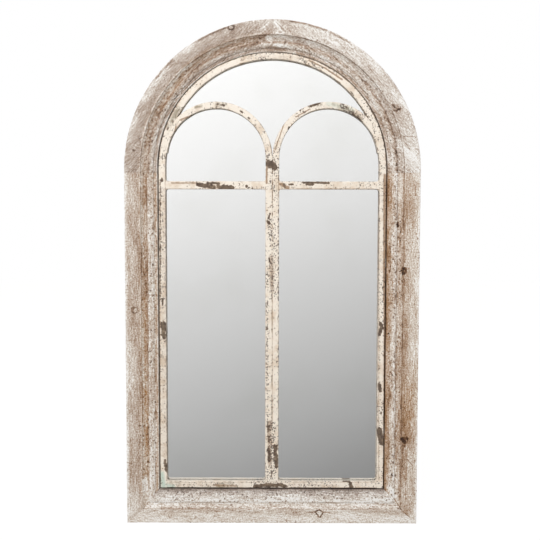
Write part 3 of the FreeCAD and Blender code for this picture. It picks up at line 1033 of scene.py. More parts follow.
@dataclass
class Rail(Board):
    """The bottom rail, mitred at both ends."""

    def flipped(self) -> bool:
        """The section is turned a quarter, so its faces turn round."""
        return True

    def lay_out(self, section: Array) -> Layout:
        """Widens the section and lays it from mitre to mitre.

        Args:
            section: a stile's section.

        Returns:
            The section along the board's path.
        """
        m = MOULDING
        section = m.on_rail(section)
        half = m.sight_r + np.interp(section[:, 0], m.rail_places, m.stile_places)
        share = self.stations(2 * m.sight_r)[:, None]
        x = -half[None, :] + share * 2 * half[None, :]
        z = np.broadcast_to(m.foot_width - section[:, 0], x.shape)
        toward = np.zeros(x.shape + (2,))
        toward[..., 1] = -1.0
        joint = (half[None, :] - np.abs(x)) * MITRE
        return Layout(section, x, z, toward, joint)


@dataclass
class ArchQuarter(Board):
    """A quarter of the arch. The opening's circle springs a little above the outer one."""

    side: int = 1
    joint_z: float = 750.0
    spring_z: float = 756.0
    sight_spring_z: float = 759.0
    crown_blend: float = 30.0

    def flipped(self) -> bool:
        """The left quarter's faces turn the other way round."""
        return self.side > 0

    def lay_out(self, section: Array) -> Layout:
        """Lays the section up from the joint and round to the crown.

        Args:
            section: a stile's section.

        Returns:
            The section along the board's path.
        """
        m = MOULDING
        outer_r = m.sight_r + m.side_width
        straight = self.sight_spring_z - self.joint_z
        length = straight + math.pi / 2 * outer_r
        travel = self.stations(length)[:, None] * length
        angle = np.clip((travel - straight) / outer_r, 0, math.pi / 2)
        base = np.where(travel < straight, self.joint_z + travel, self.sight_spring_z)
        rise = self.sight_spring_z - self.spring_z
        limit = np.sqrt(outer_r ** 2 - (rise * np.cos(angle)) ** 2) - rise * np.sin(angle)
        limit = np.where(base < self.sight_spring_z, outer_r, limit)
        flat_start = m.step[-1][0]
        width = section[:, 0][None, :]
        squeeze = (limit - m.sight_r - flat_start) / (m.side_width - flat_start)
        radius = m.sight_r + np.where(width > flat_start, flat_start + (width - flat_start) * squeeze, width)
        x = self.side * radius * np.cos(angle)
        z = base + radius * np.sin(angle)
        toward = np.stack(np.broadcast_arrays(self.side * np.cos(angle), np.sin(angle)), axis=-1)
        toward = np.broadcast_to(toward, x.shape + (2,))
        joint = np.minimum(np.broadcast_to(travel, x.shape), np.abs(x))
        return Layout(section, x, z, toward, joint, 0.5 * np.exp(-((x / self.crown_blend) ** 2)))


@dataclass
class WoodenFrame:
    """The five boards of the frame, each with what its own years have done to it."""

    finish: LimewashedFir = LimewashedFir()

    def boards(self) -> list[Board]:
        """The boards with their weather and marks."""
        diagonal = math.sqrt(0.5)
        left_stile = Weathering(
            (0.88, 0.67, 0.845, 0.77, 0.78, 0.665, 0.665, 0.785, 0.645, 0.70, 0.705, 0.93), 0.2,
            cove_warmth=0.26, lip_warmth=0.3, speckle=1.1, crease_shade=0.12)
        right_stile = Weathering(
            (0.57, 0.64, 0.745, 0.785, 0.81, 0.76, 0.71, 0.65, 0.66, 0.77, 0.80, 0.92), 0.7,
            cove_warmth=0.18, band_warmth=0.22, lip_warmth=0.4, speckle=1.2, mottle=0.11, crease_shade=0.14)
        rail = Weathering(
            (0.44, 0.64, 0.755, 0.81, 1.0, 0.88, 0.83, 0.81, 0.75, 0.86, 0.89, 0.845), 0.9,
            band_warmth=0.06, lip_warmth=-0.4, speckle=1.1, mottle=0.04, crease_shade=0.15)
        left_arch = Weathering(
            (0.85, 0.55, 0.79, 0.70, 0.49, 0.77, 0.64, 0.84, 0.60, 0.65, 0.655, 0.74), 0.3,
            cove_warmth=0.12, band_warmth=-0.20, lip_warmth=-0.15, crease_shade=0.12)
        right_arch = Weathering(
            (0.74, 0.655, 0.86, 0.81, 0.58, 0.77, 0.765, 0.835, 0.80, 0.835, 0.86, 0.84), 0.4,
            cove_warmth=-0.1, band_warmth=-0.1, speckle=1.1, mottle=0.08, crease_shade=0.19)
        return [
            Stile("left_stile", left_stile, LEFT_STILE_MARKS, 11, side=-1),
            Stile("right_stile", right_stile, RIGHT_STILE_MARKS, 12, side=1),
            Rail("bottom_rail", rail, RAIL_MARKS, 13, (1.0, 0.0)),
            ArchQuarter(
                "left_arch", left_arch, LEFT_ARCH_MARKS, 14, (diagonal, diagonal), side=-1,
                next_weather=right_arch),
            ArchQuarter(
                "right_arch", right_arch, RIGHT_ARCH_MARKS, 15, (-diagonal, diagonal), side=1,
                next_weather=left_arch),
        ]

    def build(self) -> None:
        """Makes the boards."""
        material = self.finish.material()
        for board in self.boards():
            board.build(material)


LEFT_STILE_MARKS = (
    *strokes(Field.DARK, (
        (135.3, 310, 135.3, 310, 7.4, 0.42, 0.3, 0.3, 0.6), (140, 425.6, 140, 425.6, 2.4, 0.5, 0.5, 0.3),
        (149, 413, 158, 413.5, 0.8, 0.3, 0.6, 0.3), (142, 250, 142.5, 300, 2, 0.14, 0.9),
    )),
    *strokes(Field.WASH, (
        (135.3, 310, 135.3, 310, 3.5, 0.08, 0.6), (151, 416, 156, 440, 5, 0.07, 0.9),
        (132, 500, 134, 522, 17, 0.13, 0.9), (144.5, 480, 148, 506, 5, 0.22, 0.5),
        (128, 345, 131, 400, 9, 0.06, 0.9), (143, 330, 143, 380, 2, 0.12, 0.9),
    )),
    *strokes(Field.TAN, (
        (145.5, 392, 146, 474, 5, 0.28, 0.9), (143.8, 300, 144.4, 392, 4.5, 0.2, 0.9),
    )),
)
RIGHT_STILE_MARKS = (
    *strokes(Field.DARK, (
        (404, 269.8, 404, 272.2, 6.2, 0.74, 0.35, 0.5), (404, 222, 404, 262, 1.2, 0.32, 0.8, 0.2),
        (402.6, 438.9, 404.4, 441.4, 5, 0.78, 0.5, 0.5), (405.2, 438, 407, 438.9, 3.8, 0.68, 0.5, 0.4),
        (403.8, 443.4, 404.2, 446, 2.2, 0.5, 0.6, 0.3), (404, 439.5, 405, 440.5, 9.5, 0.26, 0.9),
        (403.5, 420, 404, 437, 4, 0.12, 0.9), (403, 446, 399, 500, 1.6, 0.22, 0.8, 0.2),
        (407, 446, 405, 495, 1.3, 0.16, 0.8, 0.2), (404, 278, 403.5, 306, 1.3, 0.26, 0.8, 0.2),
        (398, 223.2, 398.4, 226.4, 2.4, 0.74, 0.5, 0.3), (405.5, 478.5, 405.5, 478.5, 2.2, 0.5, 0.5, 0.3),
        (406, 498, 406, 498, 2.2, 0.5, 0.5, 0.3), (407, 459, 413, 466, 0.8, 0.4, 0.5, 0.3),
        (391, 495, 401, 509, 0.9, 0.5, 0.5, 0.4), (401, 509, 408, 516, 0.9, 0.4, 0.5, 0.4),
    )),
    *strokes(Field.TAN, (
        (409, 392, 408, 432, 16, 0.12, 0.95), (412, 368, 410, 420, 12, 0.1, 0.95),
    )),
    *strokes(Field.WASH, (
        (409, 392, 406, 434, 17, -0.08, 0.95), (411, 366, 409, 415, 10, -0.05, 0.95),
        (404, 271, 404, 271, 2.4, 0.16, 0.6), (395, 300, 399, 325, 9, -0.06, 0.95),
        (411, 262, 413, 300, 8, 0.05, 0.95), (390, 488, 394, 497, 6, 0.24, 0.5),
    )),
)
RAIL_MARKS = (
    *strokes(Field.DARK, (
        (315.3, 511.2, 319.2, 509.4, 1.2, 0.74, 0.5, 0.3), (319.2, 509.4, 323.2, 512, 1.2, 0.82, 0.5, 0.3),
        (323.2, 512, 319.8, 517.2, 1.2, 0.82, 0.5, 0.3), (315.4, 511.8, 319.4, 517, 1.1, 0.74, 0.5, 0.3),
        (318.4, 512.2, 318.8, 512.6, 0.9, 0.3, 0.6), (309, 511.8, 315, 511.6, 1.4, 0.3, 0.8),
        (323, 511.6, 331, 512.2, 1.2, 0.3, 0.8), (293, 512, 293.4, 512, 1.3, 0.5, 0.4, 0.3),
        (296, 512, 296.4, 512, 1.1, 0.4, 0.4, 0.3),
    )),
    *strokes(Field.WASH, (
        (318.6, 512.6, 319.6, 513.6, 2.8, 0.12, 0.6), (388, 494, 392, 498, 5, 0.15, 0.6),
    )),
)
LEFT_ARCH_MARKS = (
    *strokes(Field.DARK, (
        (230, 27.5, 232.2, 27.7, 5.2, 0.85, 0.3, 0.2, 0.58), (227.8, 28.4, 228.2, 28.8, 1.8, 0.5, 0.6, 0.2),
        (133.8, 150.3, 133.8, 150.3, 2.4, 0.6, 0.5, 0.4), (227, 27.4, 210, 34.6, 1.5, 0.5, 0.9),
        (208, 35.6, 194, 43.3, 1.3, 0.42, 0.9), (172.5, 60, 156, 78.5, 1.3, 0.36, 0.9),
        (265, 36, 271, 33, 1, 0.2, 0.8), (258, 48, 272, 46.8, 3.5, 0.18, 0.7),
        # The strokes from (184, 66.5) through (222, 43) to (268, 34.5) are painted shade along the step
        # between band and cove
        (160, 110, 183, 74, 3, 0.1, 0.9), (222, 43, 268, 34.5, 2.4, 0.17, 0.8),
        (184, 66.5, 203, 53.2, 2.6, 0.2, 0.9), (203, 53.2, 222, 43.4, 2.6, 0.2, 0.9),
    )),
    *strokes(Field.WASH, (
        (263, 25, 267, 33, 0.9, 0.14, 0.8), (259, 30, 264, 27, 0.9, 0.12, 0.8),
        (268, 38, 272, 40, 4.5, 0.24, 0.6), (262, 43, 271, 43.6, 2.2, 0.22, 0.7),
        (144, 99, 166, 68, 6, 0.17, 0.9), (175, 59, 197, 42, 5, 0.15, 0.9),
        (130, 140, 137, 115, 4.5, 0.12, 0.9), (205, 64, 232, 50, 2.4, 0.14, 0.8),
    )),
    *strokes(Field.TAN, (
        (160, 110, 183, 74, 6, 0.16, 0.9),
    )),
)
RIGHT_ARCH_MARKS = (
    *strokes(Field.DARK, (
        (393, 105, 394.5, 107, 2.2, 0.6, 0.5, 0.4), (396, 111, 400, 108.6, 2, 0.72, 0.4, 0.5),
        (394, 110.6, 396, 110.8, 2.4, 0.5, 0.6, 0.3), (397.4, 105.6, 398, 106.4, 1.5, 0.5, 0.5, 0.3),
        (395.5, 109, 398, 108.4, 8, 0.2, 0.9), (403, 136.6, 415, 136.6, 0.9, 0.4, 0.25, 0.3),
        (405, 143, 410, 150, 0.9, 0.4, 0.25, 0.3), (396, 151, 400, 160, 0.9, 0.4, 0.25, 0.3),
        (274, 47, 283, 48, 3.5, 0.18, 0.7), (277.5, 35, 283, 30, 0.8, 0.16, 0.8),
        (281, 27, 285, 29.5, 0.8, 0.12, 0.8), (290, 21.2, 306, 24, 1.7, 0.55, 0.9),
        (309, 25, 326, 30.4, 1.7, 0.5, 0.9), (330, 32.6, 350, 43, 1.4, 0.35, 0.9),
        (368, 66, 384, 88, 1.2, 0.16, 0.8),
    )),
    *strokes(Field.WASH, (
        (404, 147, 411, 156, 14, 0.1, 0.9), (273, 43.8, 281, 45, 3.5, 0.22, 0.6),
        (275, 24, 280, 34, 9, 0.08, 0.9), (274, 22, 284, 33, 0.9, 0.22, 0.6),
        (276, 33.5, 281, 29, 0.8, 0.16, 0.8), (283, 27.5, 287, 24.5, 0.8, 0.14, 0.8),
        (279, 35, 283, 33, 0.8, 0.13, 0.8), (272, 28, 300, 29.5, 11, -0.05, 0.9),
    )),
)


# The iron grille

@dataclass(frozen=True)
class BarStock:
    """The flat bar that the grille is bent from, with its front edges worn round."""

    back: float = 28.0
    ease: float = 1.6
    spacing: float = 0.9
    back_spacing: float = 3.0

    def section(self, face: float, width: float, inner_ease: float) -> Array:
        """Samples the section round.

        Args:
            face: the depth of the front.
            width: the width.
            inner_ease: how far the front edge on the inner side is rounded.

        Returns:
            Rows of distance from the bar's inner side and depth.
        """
        corners = [(0.0, self.back), (0.0, face), (width, face), (width, self.back)]
        points: list[Point] = []
        for number, (start, end) in enumerate(zip(corners, corners[1:] + corners[:1])):
            spacing = self.spacing if number < 3 else self.back_spacing
            points += between(start, end, max(2, round(math.dist(start, end) / spacing)))
        section = np.array(points)
        for towards, centre, ease in ((1.0, inner_ease, inner_ease), (-1.0, width - self.ease, self.ease)):
            pivot = np.array([centre, face + ease])
            offset = section - pivot
            outside = (offset[:, 0] * towards < 0) & (offset[:, 1] < 0)
            length = np.linalg.norm(offset[outside], axis=1, keepdims=True) + TINY
            square = np.max(np.abs(offset[outside]), axis=1, keepdims=True)
            section[outside] = pivot + offset[outside] / length * np.minimum(square, ease)
        return section


def straight(start: Point, end: Point, toward: Point) -> Path:
    """A straight path.

    Args:
        start: x and z of its start.
        end: x and z of its end.
        toward: the direction from it in which the section's distance counts.

    Returns:
        What places the section at a share of the way.
    """
    def place(share: Array, out: Array) -> tuple[Array, Array, Array]:
        """Places the section at a share of the way."""
        x, z = (a + share * (b - a) + t * out for a, b, t in zip(start, end, toward))
        return x, z, np.broadcast_to(np.array(toward, float), x.shape + (2,))
    return place


def round_head(centre_x: float, centre_z: float, inner_r: float, side: int, heel: float | None) -> Path:
    """A path round an arch, from its left to its right or to its heel.

    Args:
        centre_x: where its centre lies across.
        centre_z: where its centre lies in height.
        inner_r: the radius of the section's inner side.
        side: 1, or -1 for the mirror image.
        heel: the height where the arch ends, or None where it goes all the way round.

    Returns:
        What places the section at a share of the way.
    """
    def place(share: Array, out: Array) -> tuple[Array, Array, Array]:
        """Places the section at a share of the way round."""
        radius = inner_r + out
        last = 0.0 if heel is None else np.arcsin((heel - centre_z) / radius)
        angle = math.pi - share * (math.pi - last)
        x = side * (centre_x + radius * np.cos(angle))
        z = centre_z + radius * np.sin(angle)
        toward = np.stack([side * np.cos(angle) + 0 * x, np.sin(angle) + 0 * x], axis=-1)
        return x, z, toward
    return place


@dataclass
class Bar:
    """One bar of the grille: its path, and where its paint has chipped."""

    name: str
    place: Path
    length: float
    marks: Sequence[Mark] = ()
    flip: bool = False
    stock: BarStock = BarStock()
    face: float = 16.0
    width: float = 14.5
    station: float = 1.1
    wear: float = 0.0
    inner_line: float = 1.1
    outer_line: float = 0.9
    wall_line: float = 0.12
    paint_fills_seam: bool = False

    # How sharp the arris at the mullion's seam is, how deep the bar's front edge and its rear part
    # are, how far a full mark lifts the chip field, and how stained the rear is
    SEAM_EASE = 0.3
    EDGE_DEPTH = 0.7
    REAR = 3.0
    CHIP_SHARE = 0.34
    REAR_STAIN = 0.08
    # The noises: the cell across, up and in depth, and the octaves
    RAGGED = ((2.4, 2.4, 2.4), 2)
    PATCHY = ((13.0, 13.0, 13.0), 3)
    WORN = ((38.0, 38.0, 38.0), 2)
    SPECKED = ((45.0, 45.0, 45.0), 2)
    UNEVEN = ((30.0, 30.0, 30.0), 2)

    def build(self, finish: bpy.types.Material, noise: SmoothNoise) -> bpy.types.Object:
        """Makes the bar, a little uneven, with its chips.

        Args:
            finish: the material.
            noise: the noise that all bars share, so that joints run on.

        Returns:
            The piece, which rides with the mirror and stands for the node of its name.
        """
        inner_ease = self.SEAM_EASE if self.paint_fills_seam else self.stock.ease
        section = self.stock.section(self.face, self.width, inner_ease)
        out, deep = section[:, 0], section[:, 1]
        share = np.linspace(0, 1, int(self.length / self.station) + 1)[:, None]
        x, z, toward = self.place(share, out[None, :])
        depth = np.broadcast_to(deep, x.shape)
        flat = np.stack([x, z, depth], axis=-1)
        ragged = noise.at(flat, *self.RAGGED)
        patchy = np.clip(0.5 + 0.9 * noise.at(flat + 51.0, *self.PATCHY), 0, 1)
        side = deep > self.face + self.EDGE_DEPTH
        reach = np.where(out > self.width / 2, self.outer_line, self.inner_line)
        rim = np.where(side, self.wall_line, np.exp(-((np.minimum(out, self.width - out) / reach) ** 2)))
        fields = {
            Field.CHIP: self.wear + 0.03 * noise.at(flat, *self.WORN) + 0.04 * rim * ~side,
            Field.SPECK: 0.22 + 0.25 * noise.at(flat + 23.0, *self.SPECKED) + 0.3 * rim,
            Field.STAIN: np.zeros_like(x),
            Field.EDGE: patchy * rim,
            Field.GREEN: np.zeros_like(x),
        }
        for mark in self.marks:
            weight = mark.weight(x, z, self.face, ragged) * (depth < self.stock.back - self.REAR)
            share = mark.strength * (self.CHIP_SHARE if mark.kind is Field.CHIP else 1.0)
            fields[mark.kind] = np.maximum(fields[mark.kind], weight * share)
        rear = smoothstep(self.stock.back - self.REAR, self.stock.back, depth)
        sink = 0.14 + 0.14 * noise.at(flat, *self.UNEVEN) + 0.07 * ragged
        sink = np.clip(sink + 0.5 * np.clip(fields[Field.CHIP], 0, 0.3), 0, 0.7)
        sink = np.where(depth > self.stock.back - 0.1, 0.05, sink)
        if self.paint_fills_seam:
            sink = sink * np.clip(out / self.REAR, 0, 1)
        fields[Field.STAIN] = np.maximum(fields[Field.STAIN], self.REAR_STAIN * rear)
        skin = Skin(sunk(section, x, z, toward, sink), grid_faces(*x.shape, self.flip), {
            kind.value: values for kind, values in fields.items()})
        piece = skin.build(f"{self.name}_iron", finish)
        stand_in(piece, self.name)
        return piece


@dataclass
class IronGrille:
    """The window grille: side bars and arch, foot, mullion, two round-headed lights and crossbars."""

    finish: ChippedPaint = ChippedPaint()
    bar_width: float = 14.5
    arch_r: float = 240.5
    arch_spring_z: float = 761.1
    foot_z: float = 72.5
    light_r: float = 118.3
    light_spring_z: float = 781.0
    heel_z: float = 792.0
    crossbar_z: float = 724.0
    crossbar_height: float = 17.0
    crossbar_face: float = 16.8
    tuck: float = 1.0
    seed: int = 31

    def bars(self) -> list[Bar]:
        """The bars with their paths and marks."""
        w, inner = self.bar_width, self.arch_r - self.bar_width
        reach = inner + self.tuck
        low = self.crossbar_z - self.crossbar_height / 2
        top_of_foot = self.foot_z + w
        bars = [
            Bar("arch_bar", round_head(0, self.arch_spring_z, inner, 1, None), math.pi * self.arch_r,
                ARCH_BAR_MARKS, outer_line=2.1),
            Bar("bottom_bar", straight((-reach, self.foot_z), (reach, self.foot_z), (0, 1)), 2 * inner,
                FOOT_MARKS, flip=True, outer_line=0.5, wall_line=0.0),
        ]
        for side, name in ((-1, "left"), (1, "right")):
            marks = LEFT_METAL_MARKS if side < 0 else RIGHT_METAL_MARKS
            bars += [
                Bar(f"{name}_side_bar",
                    straight((side * inner, self.foot_z), (side * inner, self.arch_spring_z), (side, 0)),
                    self.arch_spring_z - self.foot_z, marks, flip=side > 0, outer_line=1.2),
                Bar(f"{name}_mullion_bar",
                    straight((0, top_of_foot - self.tuck), (0, self.light_spring_z), (side, 0)),
                    self.light_spring_z - top_of_foot, MULLION_MARKS, flip=side > 0, wear=0.02,
                    paint_fills_seam=True),
                Bar(f"{name}_light_arch",
                    round_head(self.light_r, self.light_spring_z, self.light_r - w, side, self.heel_z),
                    math.pi * self.light_r, marks, flip=side < 0),
                Bar(f"{name}_crossbar",
                    straight((side * (w - self.tuck), low), (side * reach, low), (0, 1)), inner - w,
                    marks, flip=side > 0, face=self.crossbar_face, width=self.crossbar_height),
            ]
        return bars

    def build(self) -> None:
        """Makes the bars and paints the welds."""
        material = self.finish.material()
        noise = SmoothNoise(self.seed)
        for bar in self.bars():
            bar.build(material, noise)
        dress(material, "weld_beads")


# The chip where the two lights part runs over several bars
FORK_MARKS = strokes(Field.CHIP, (
    (268.2, 163.5, 272.5, 165.5, 6.6, 1.3, 0.5), (274.5, 165.5, 275, 168.5, 4.6, 1.25, 0.5),
))
ARCH_BAR_MARKS = (
    *strokes(Field.STAIN, (
        (168.5, 128, 178, 109, 5.5, 0.85, 0.9),
    )),
    *strokes(Field.CHIP, (
        (168.5, 128.5, 167.5, 129.5, 2.4), (165.5, 136, 165.5, 136.5, 2), (167.5, 156.5, 167.5, 158.5, 1.8),
    )),
    *strokes(Field.SPECK, (
        (163, 160, 180, 108, 6, 0.55, 0.9), (300, 60, 322, 68, 5, 0.6, 0.9),
        (350, 92, 364, 112, 4, 0.5, 0.9), (368, 125, 380, 165, 6, 0.5, 0.9),
    )),
    *strokes(Field.EDGE, (
        (166, 150, 176, 124, 2.6, 0.6, 0.9), (181, 114, 206, 87, 2.4, 0.95, 0.8),
        (206, 87, 236, 67.5, 2.2, 0.9, 0.8), (309, 60.5, 325, 68, 1.7, 0.8, 0.8),
        (325, 68, 342, 79.5, 1.7, 0.85, 0.8), (240, 63.5, 300, 63.2, 1.4, 0.8, 0.8),
        (236, 57, 304, 57, 7, 0.36, 0.9), (306, 64.5, 340, 83, 1.6, 0.8, 0.8),
    )),
)
FOOT_MARKS = (
    *strokes(Field.CHIP, (
        (255, 486.5, 268, 484.5, 3.8, 1.2, 0.5), (266, 485, 277, 485.5, 4.4, 1.25, 0.5),
        (280, 484.5, 284.5, 486, 4, 1.15, 0.5), (343, 480.5, 349, 481.5, 2.6, 1.1, 0.5),
        (350, 483.5, 351.5, 487, 4, 1, 0.5),
    )),
    *strokes(Field.STAIN, (
        (219, 486, 231, 483.5, 5, 0.75, 0.8), (168, 482.5, 178, 483, 4.5, 0.45, 0.9),
    )),
    *strokes(Field.EDGE, (
        (214, 485, 236, 486, 3, 0.6, 0.9), (170, 488, 250, 488.3, 1.6, 0.75, 0.8),
        (290, 488, 378, 488.3, 1.6, 0.75, 0.8), (170, 482, 378, 482.2, 1, 0.55, 0.8),
        (178, 485, 214, 485, 5, 0.32, 0.9), (290, 484, 335, 486, 5, 0.32, 0.9),
    )),
    *strokes(Field.GREEN, (
        (162, 485, 173, 486.5, 4.5, 0.75, 0.8),
    )),
    *strokes(Field.SPECK, (
        (175, 485, 375, 485, 8, 0.3, 0.6),
    )),
)
LEFT_METAL_MARKS = (
    *strokes(Field.CHIP, (
        (198, 184.5, 214, 187, 4.4, 1.25, 0.45), (218, 187, 232, 187.5, 4.2, 1.25, 0.45),
        (208, 183, 219, 183.5, 2.2, 1.1, 0.5), (246.3, 186, 246.3, 186.4, 2.6, 1.1),
        (217, 104.5, 224, 105.2, 2, 0.62, 0.9), (240.5, 110.8, 242.3, 112.5, 1.7, 0.85, 0.8),
        (248, 117.5, 249.2, 118.6, 1.5, 0.85, 0.8), (263, 125.5, 263.5, 126.5, 1.4, 0.9, 0.7),
        (163.2, 324, 164, 336, 5.6, 1.05, 0.6), (162.5, 299, 162.5, 305, 2.2, 1, 0.5),
        (165, 461, 166.5, 470, 3.4, 1.1, 0.5), (160.5, 203, 160.5, 204, 2, 1.2, 0.4),
        (160, 232, 160, 233, 1.6, 1.2, 0.4), (160, 246, 160, 250, 1.6, 1.2, 0.4),
        (160, 275, 160, 276.5, 1.6, 1.2, 0.4), (162, 179, 162, 181, 2.6, 1, 0.5),
    )),
    *strokes(Field.EDGE, (
        (172, 183, 195, 183, 2.6, 0.6, 0.8), (244, 120, 262, 150, 2, 0.8, 0.8),
        (180, 120, 200, 112.5, 1.8, 0.8, 0.8), (171, 150, 176, 126, 1.8, 0.85, 0.8),
        (269, 134, 273.4, 156, 2.4, 0.85, 0.8), (163, 190, 164, 300, 8, 0.34, 0.9),
        (163, 300, 164, 455, 8, 0.34, 0.9), (160, 180, 160, 300, 1.2, 0.7, 0.8),
        (160, 300, 160.5, 450, 1.1, 0.6, 0.8), (168, 479, 169.5, 481, 2, 0.95, 0.5),
    )),
    *strokes(Field.SPECK, (
        (247, 188, 263, 188.5, 3, 0.55, 0.8), (160.5, 180, 160.5, 300, 2.4, 0.72, 0.8),
        (163, 235, 164, 300, 6, 0.36, 0.8),
    )),
    *strokes(Field.STAIN, (
        (217, 104.8, 225, 104.3, 4.2, 0.85, 0.7), (195.5, 107, 201, 106, 3, 0.85, 0.7),
    )),
    *strokes(Field.GREEN, (
        (161.5, 474, 163.5, 486, 5.5, 0.85, 0.8),
    )),
    *FORK_MARKS,
)
RIGHT_METAL_MARKS = (
    *strokes(Field.CHIP, (
        (283.5, 184.5, 284.5, 187, 3, 1, 0.6), (289, 184.3, 293, 184.5, 1.9, 1.1),
        (303, 182.5, 329, 182.8, 2.3, 1.15, 0.5), (307, 184, 312.5, 184.4, 3.2, 1.15, 0.5),
        (311, 106, 319, 103, 3, 1, 0.6), (299.5, 109, 300, 110.5, 1.9, 1, 0.5),
        (289, 127.5, 288.5, 129.5, 1.6, 1, 0.5), (343.5, 106.5, 346.5, 107.5, 1.2, 0.9, 0.7),
        (353, 114, 361, 121, 1.5, 0.9, 0.8), (380.5, 323, 381.5, 328, 4, 1.15, 0.5),
        (381.5, 328, 380, 334, 3.6, 1.1, 0.5), (379.3, 385, 380.5, 391, 3.6, 1.2, 0.4),
        (379.5, 430, 381.5, 443, 5.6, 1.25, 0.4), (381, 412.5, 381, 413.5, 2, 1.1, 0.5),
        (382.5, 288, 383.5, 286.5, 1.3, 1.2, 0.5),
    )),
    *strokes(Field.EDGE, (
        (281, 184, 288, 188, 4, 0.8, 0.7), (296, 188.6, 374, 188.6, 1.1, 0.5, 0.8),
        (285, 121, 275, 150, 1.3, 0.75, 0.8), (286, 150, 292, 124, 1.4, 0.7, 0.8),
        (296, 117, 310, 109, 1.5, 0.75, 0.8), (379, 190, 378.7, 480, 1.1, 0.6, 0.8),
        (384.6, 175, 384.3, 300, 2.8, 0.9, 0.8), (384.3, 300, 384, 480, 1.7, 0.8, 0.8),
        (381.5, 395, 382, 470, 6, 0.22, 0.8),
    )),
    *strokes(Field.SPECK, (
        (294, 185.5, 370, 185.5, 6, 0.16, 0.8), (342, 106, 362, 122, 6, 0.75, 0.7),
        (384, 180, 384, 470, 2.2, 0.45, 0.8), (379.4, 180, 379.4, 470, 2, 0.4, 0.8),
    )),
    *strokes(Field.STAIN, (
        (310, 105, 320, 104, 4.6, 0.7, 0.7), (333, 104, 341, 106, 3, 0.5, 0.9),
        (341, 106, 347, 108.5, 4.4, 0.8, 0.8), (351, 111, 361, 119.5, 4.4, 0.8, 0.8),
    )),
    *strokes(Field.GREEN, (
        (328, 103.5, 352, 110, 5, 0.4, 0.9),
    )),
    *FORK_MARKS,
)
MULLION_MARKS = (
    *strokes(Field.CHIP, (
        (270, 213.5, 268.5, 219, 1.5, 1, 0.6), (267.5, 221, 269.5, 223.5, 2.3, 1.2, 0.5),
        (269, 258, 270, 262, 1.6, 0.95, 0.7), (267, 327, 267, 329.5, 1.8, 1.1, 0.5),
        (267.8, 425, 269, 441, 3.4, 0.66, 0.8), (268.8, 449, 269.4, 461, 3.2, 0.84, 0.7),
        (275.2, 446, 276.4, 466, 4.4, 0.98, 0.6),
    )),
    *strokes(Field.SPECK, (
        (269, 216, 269.5, 236, 4, 0.64, 0.8), (272, 220, 273, 262, 9, 0.45, 0.8),
        (271, 259, 273, 291, 8, 0.54, 0.8), (268, 170, 278, 200, 8, 0.42, 0.8),
        (267, 300, 267.5, 425, 3, 0.6, 0.8), (278.5, 200, 279, 425, 3, 0.6, 0.8),
        (272.5, 425, 272.5, 476, 9, 0.56, 0.6),
    )),
    *strokes(Field.EDGE, (
        (272.4, 292, 272.5, 425, 1.2, 0.5, 0.8), (271, 256, 272, 291, 6, 0.5, 0.9),
        (267, 165, 266.6, 183, 1.8, 0.9, 0.7), (279, 176, 279.5, 196, 1.8, 0.9, 0.7),
        (269.2, 422, 269.6, 464, 6, 0.5, 0.8),
    )),
    *strokes(Field.STAIN, (
        (272, 184, 278, 195, 5, 0.25, 0.9),
    )),
    *FORK_MARKS,
)


# The sheets in the rebate

@dataclass
class Sheets:
    """The glass, its silvering and the board behind them, cut to the arched rebate."""

    radius: float = 253.5
    foot_z: float = 58.0
    spring_z: float = 759.0
    front: float = 28.0
    silver_front: float = 31.9
    silver_back: float = 31.97
    arris: float = 0.6
    segments: int = 128

    def outline(self, inset: float) -> list[Point]:
        """The sheet's outline, drawn in by an inset.

        Args:
            inset: how far in from the sheet's edge.

        Returns:
            x and z of its points.
        """
        r = self.radius - inset
        arc = [(r * math.cos(a), self.spring_z + r * math.sin(a))
               for a in (math.pi * i / self.segments for i in range(self.segments + 1))]
        return [(-r, self.foot_z + inset), (r, self.foot_z + inset)] + arc

    def sheet(
        self, name: str, rings: Sequence[Point], finish: bpy.types.Material,
    ) -> bpy.types.Object:
        """Makes a sheet with ground edges.

        Args:
            name: the piece's name.
            rings: inset and depth of each ring of its edge, front to back.
            finish: the material.

        Returns:
            The piece, which rides with the mirror.
        """
        points = [(x, FRONT_Y + depth, z) for inset, depth in rings for x, z in self.outline(inset)]
        count = self.segments + 3
        faces = grid_faces(len(rings), count, True)
        piece = Skin(np.array(points), faces).build(name, finish)
        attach(piece, "mirror")
        return piece

    def build(self) -> None:
        """Makes the glass and its silvering, and dresses the board."""
        a = self.arris
        rings = [(a, self.front), (0, self.front + a), (0, self.silver_front - a), (a, self.silver_front)]
        glass = self.sheet("glass_sheet", rings, FloatGlass().material())
        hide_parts("mirror_glass")
        silver = [(2 * a, self.silver_front + 0.01), (2 * a, self.silver_back)]
        self.sheet("silver_coat", silver, Silvering().material())
        dress(HARDBOARD.material(), "backing_board")


@dataclass
class Fixings:
    """Dowels, lugs, points, hangers and bumpers, whose solids are shown as they are."""

    sides: tuple[str, str] = ("left", "right")

    def build(self) -> None:
        """Dresses the fixings."""
        dress(BEECH.material(), "crown_dowels", "spring_dowels", "mitre_dowels")
        zinc = ZINC.material()
        dress(zinc, "grille_lugs", "lug_screws", "glazing_points")
        rubber = RUBBER.material()
        for side in self.sides:
            dress(zinc, f"{side}_hanger_strap", f"{side}_hanger_ring", f"{side}_hanger_screws")
            dress(rubber, f"{side}_wall_bumper")


# The studio

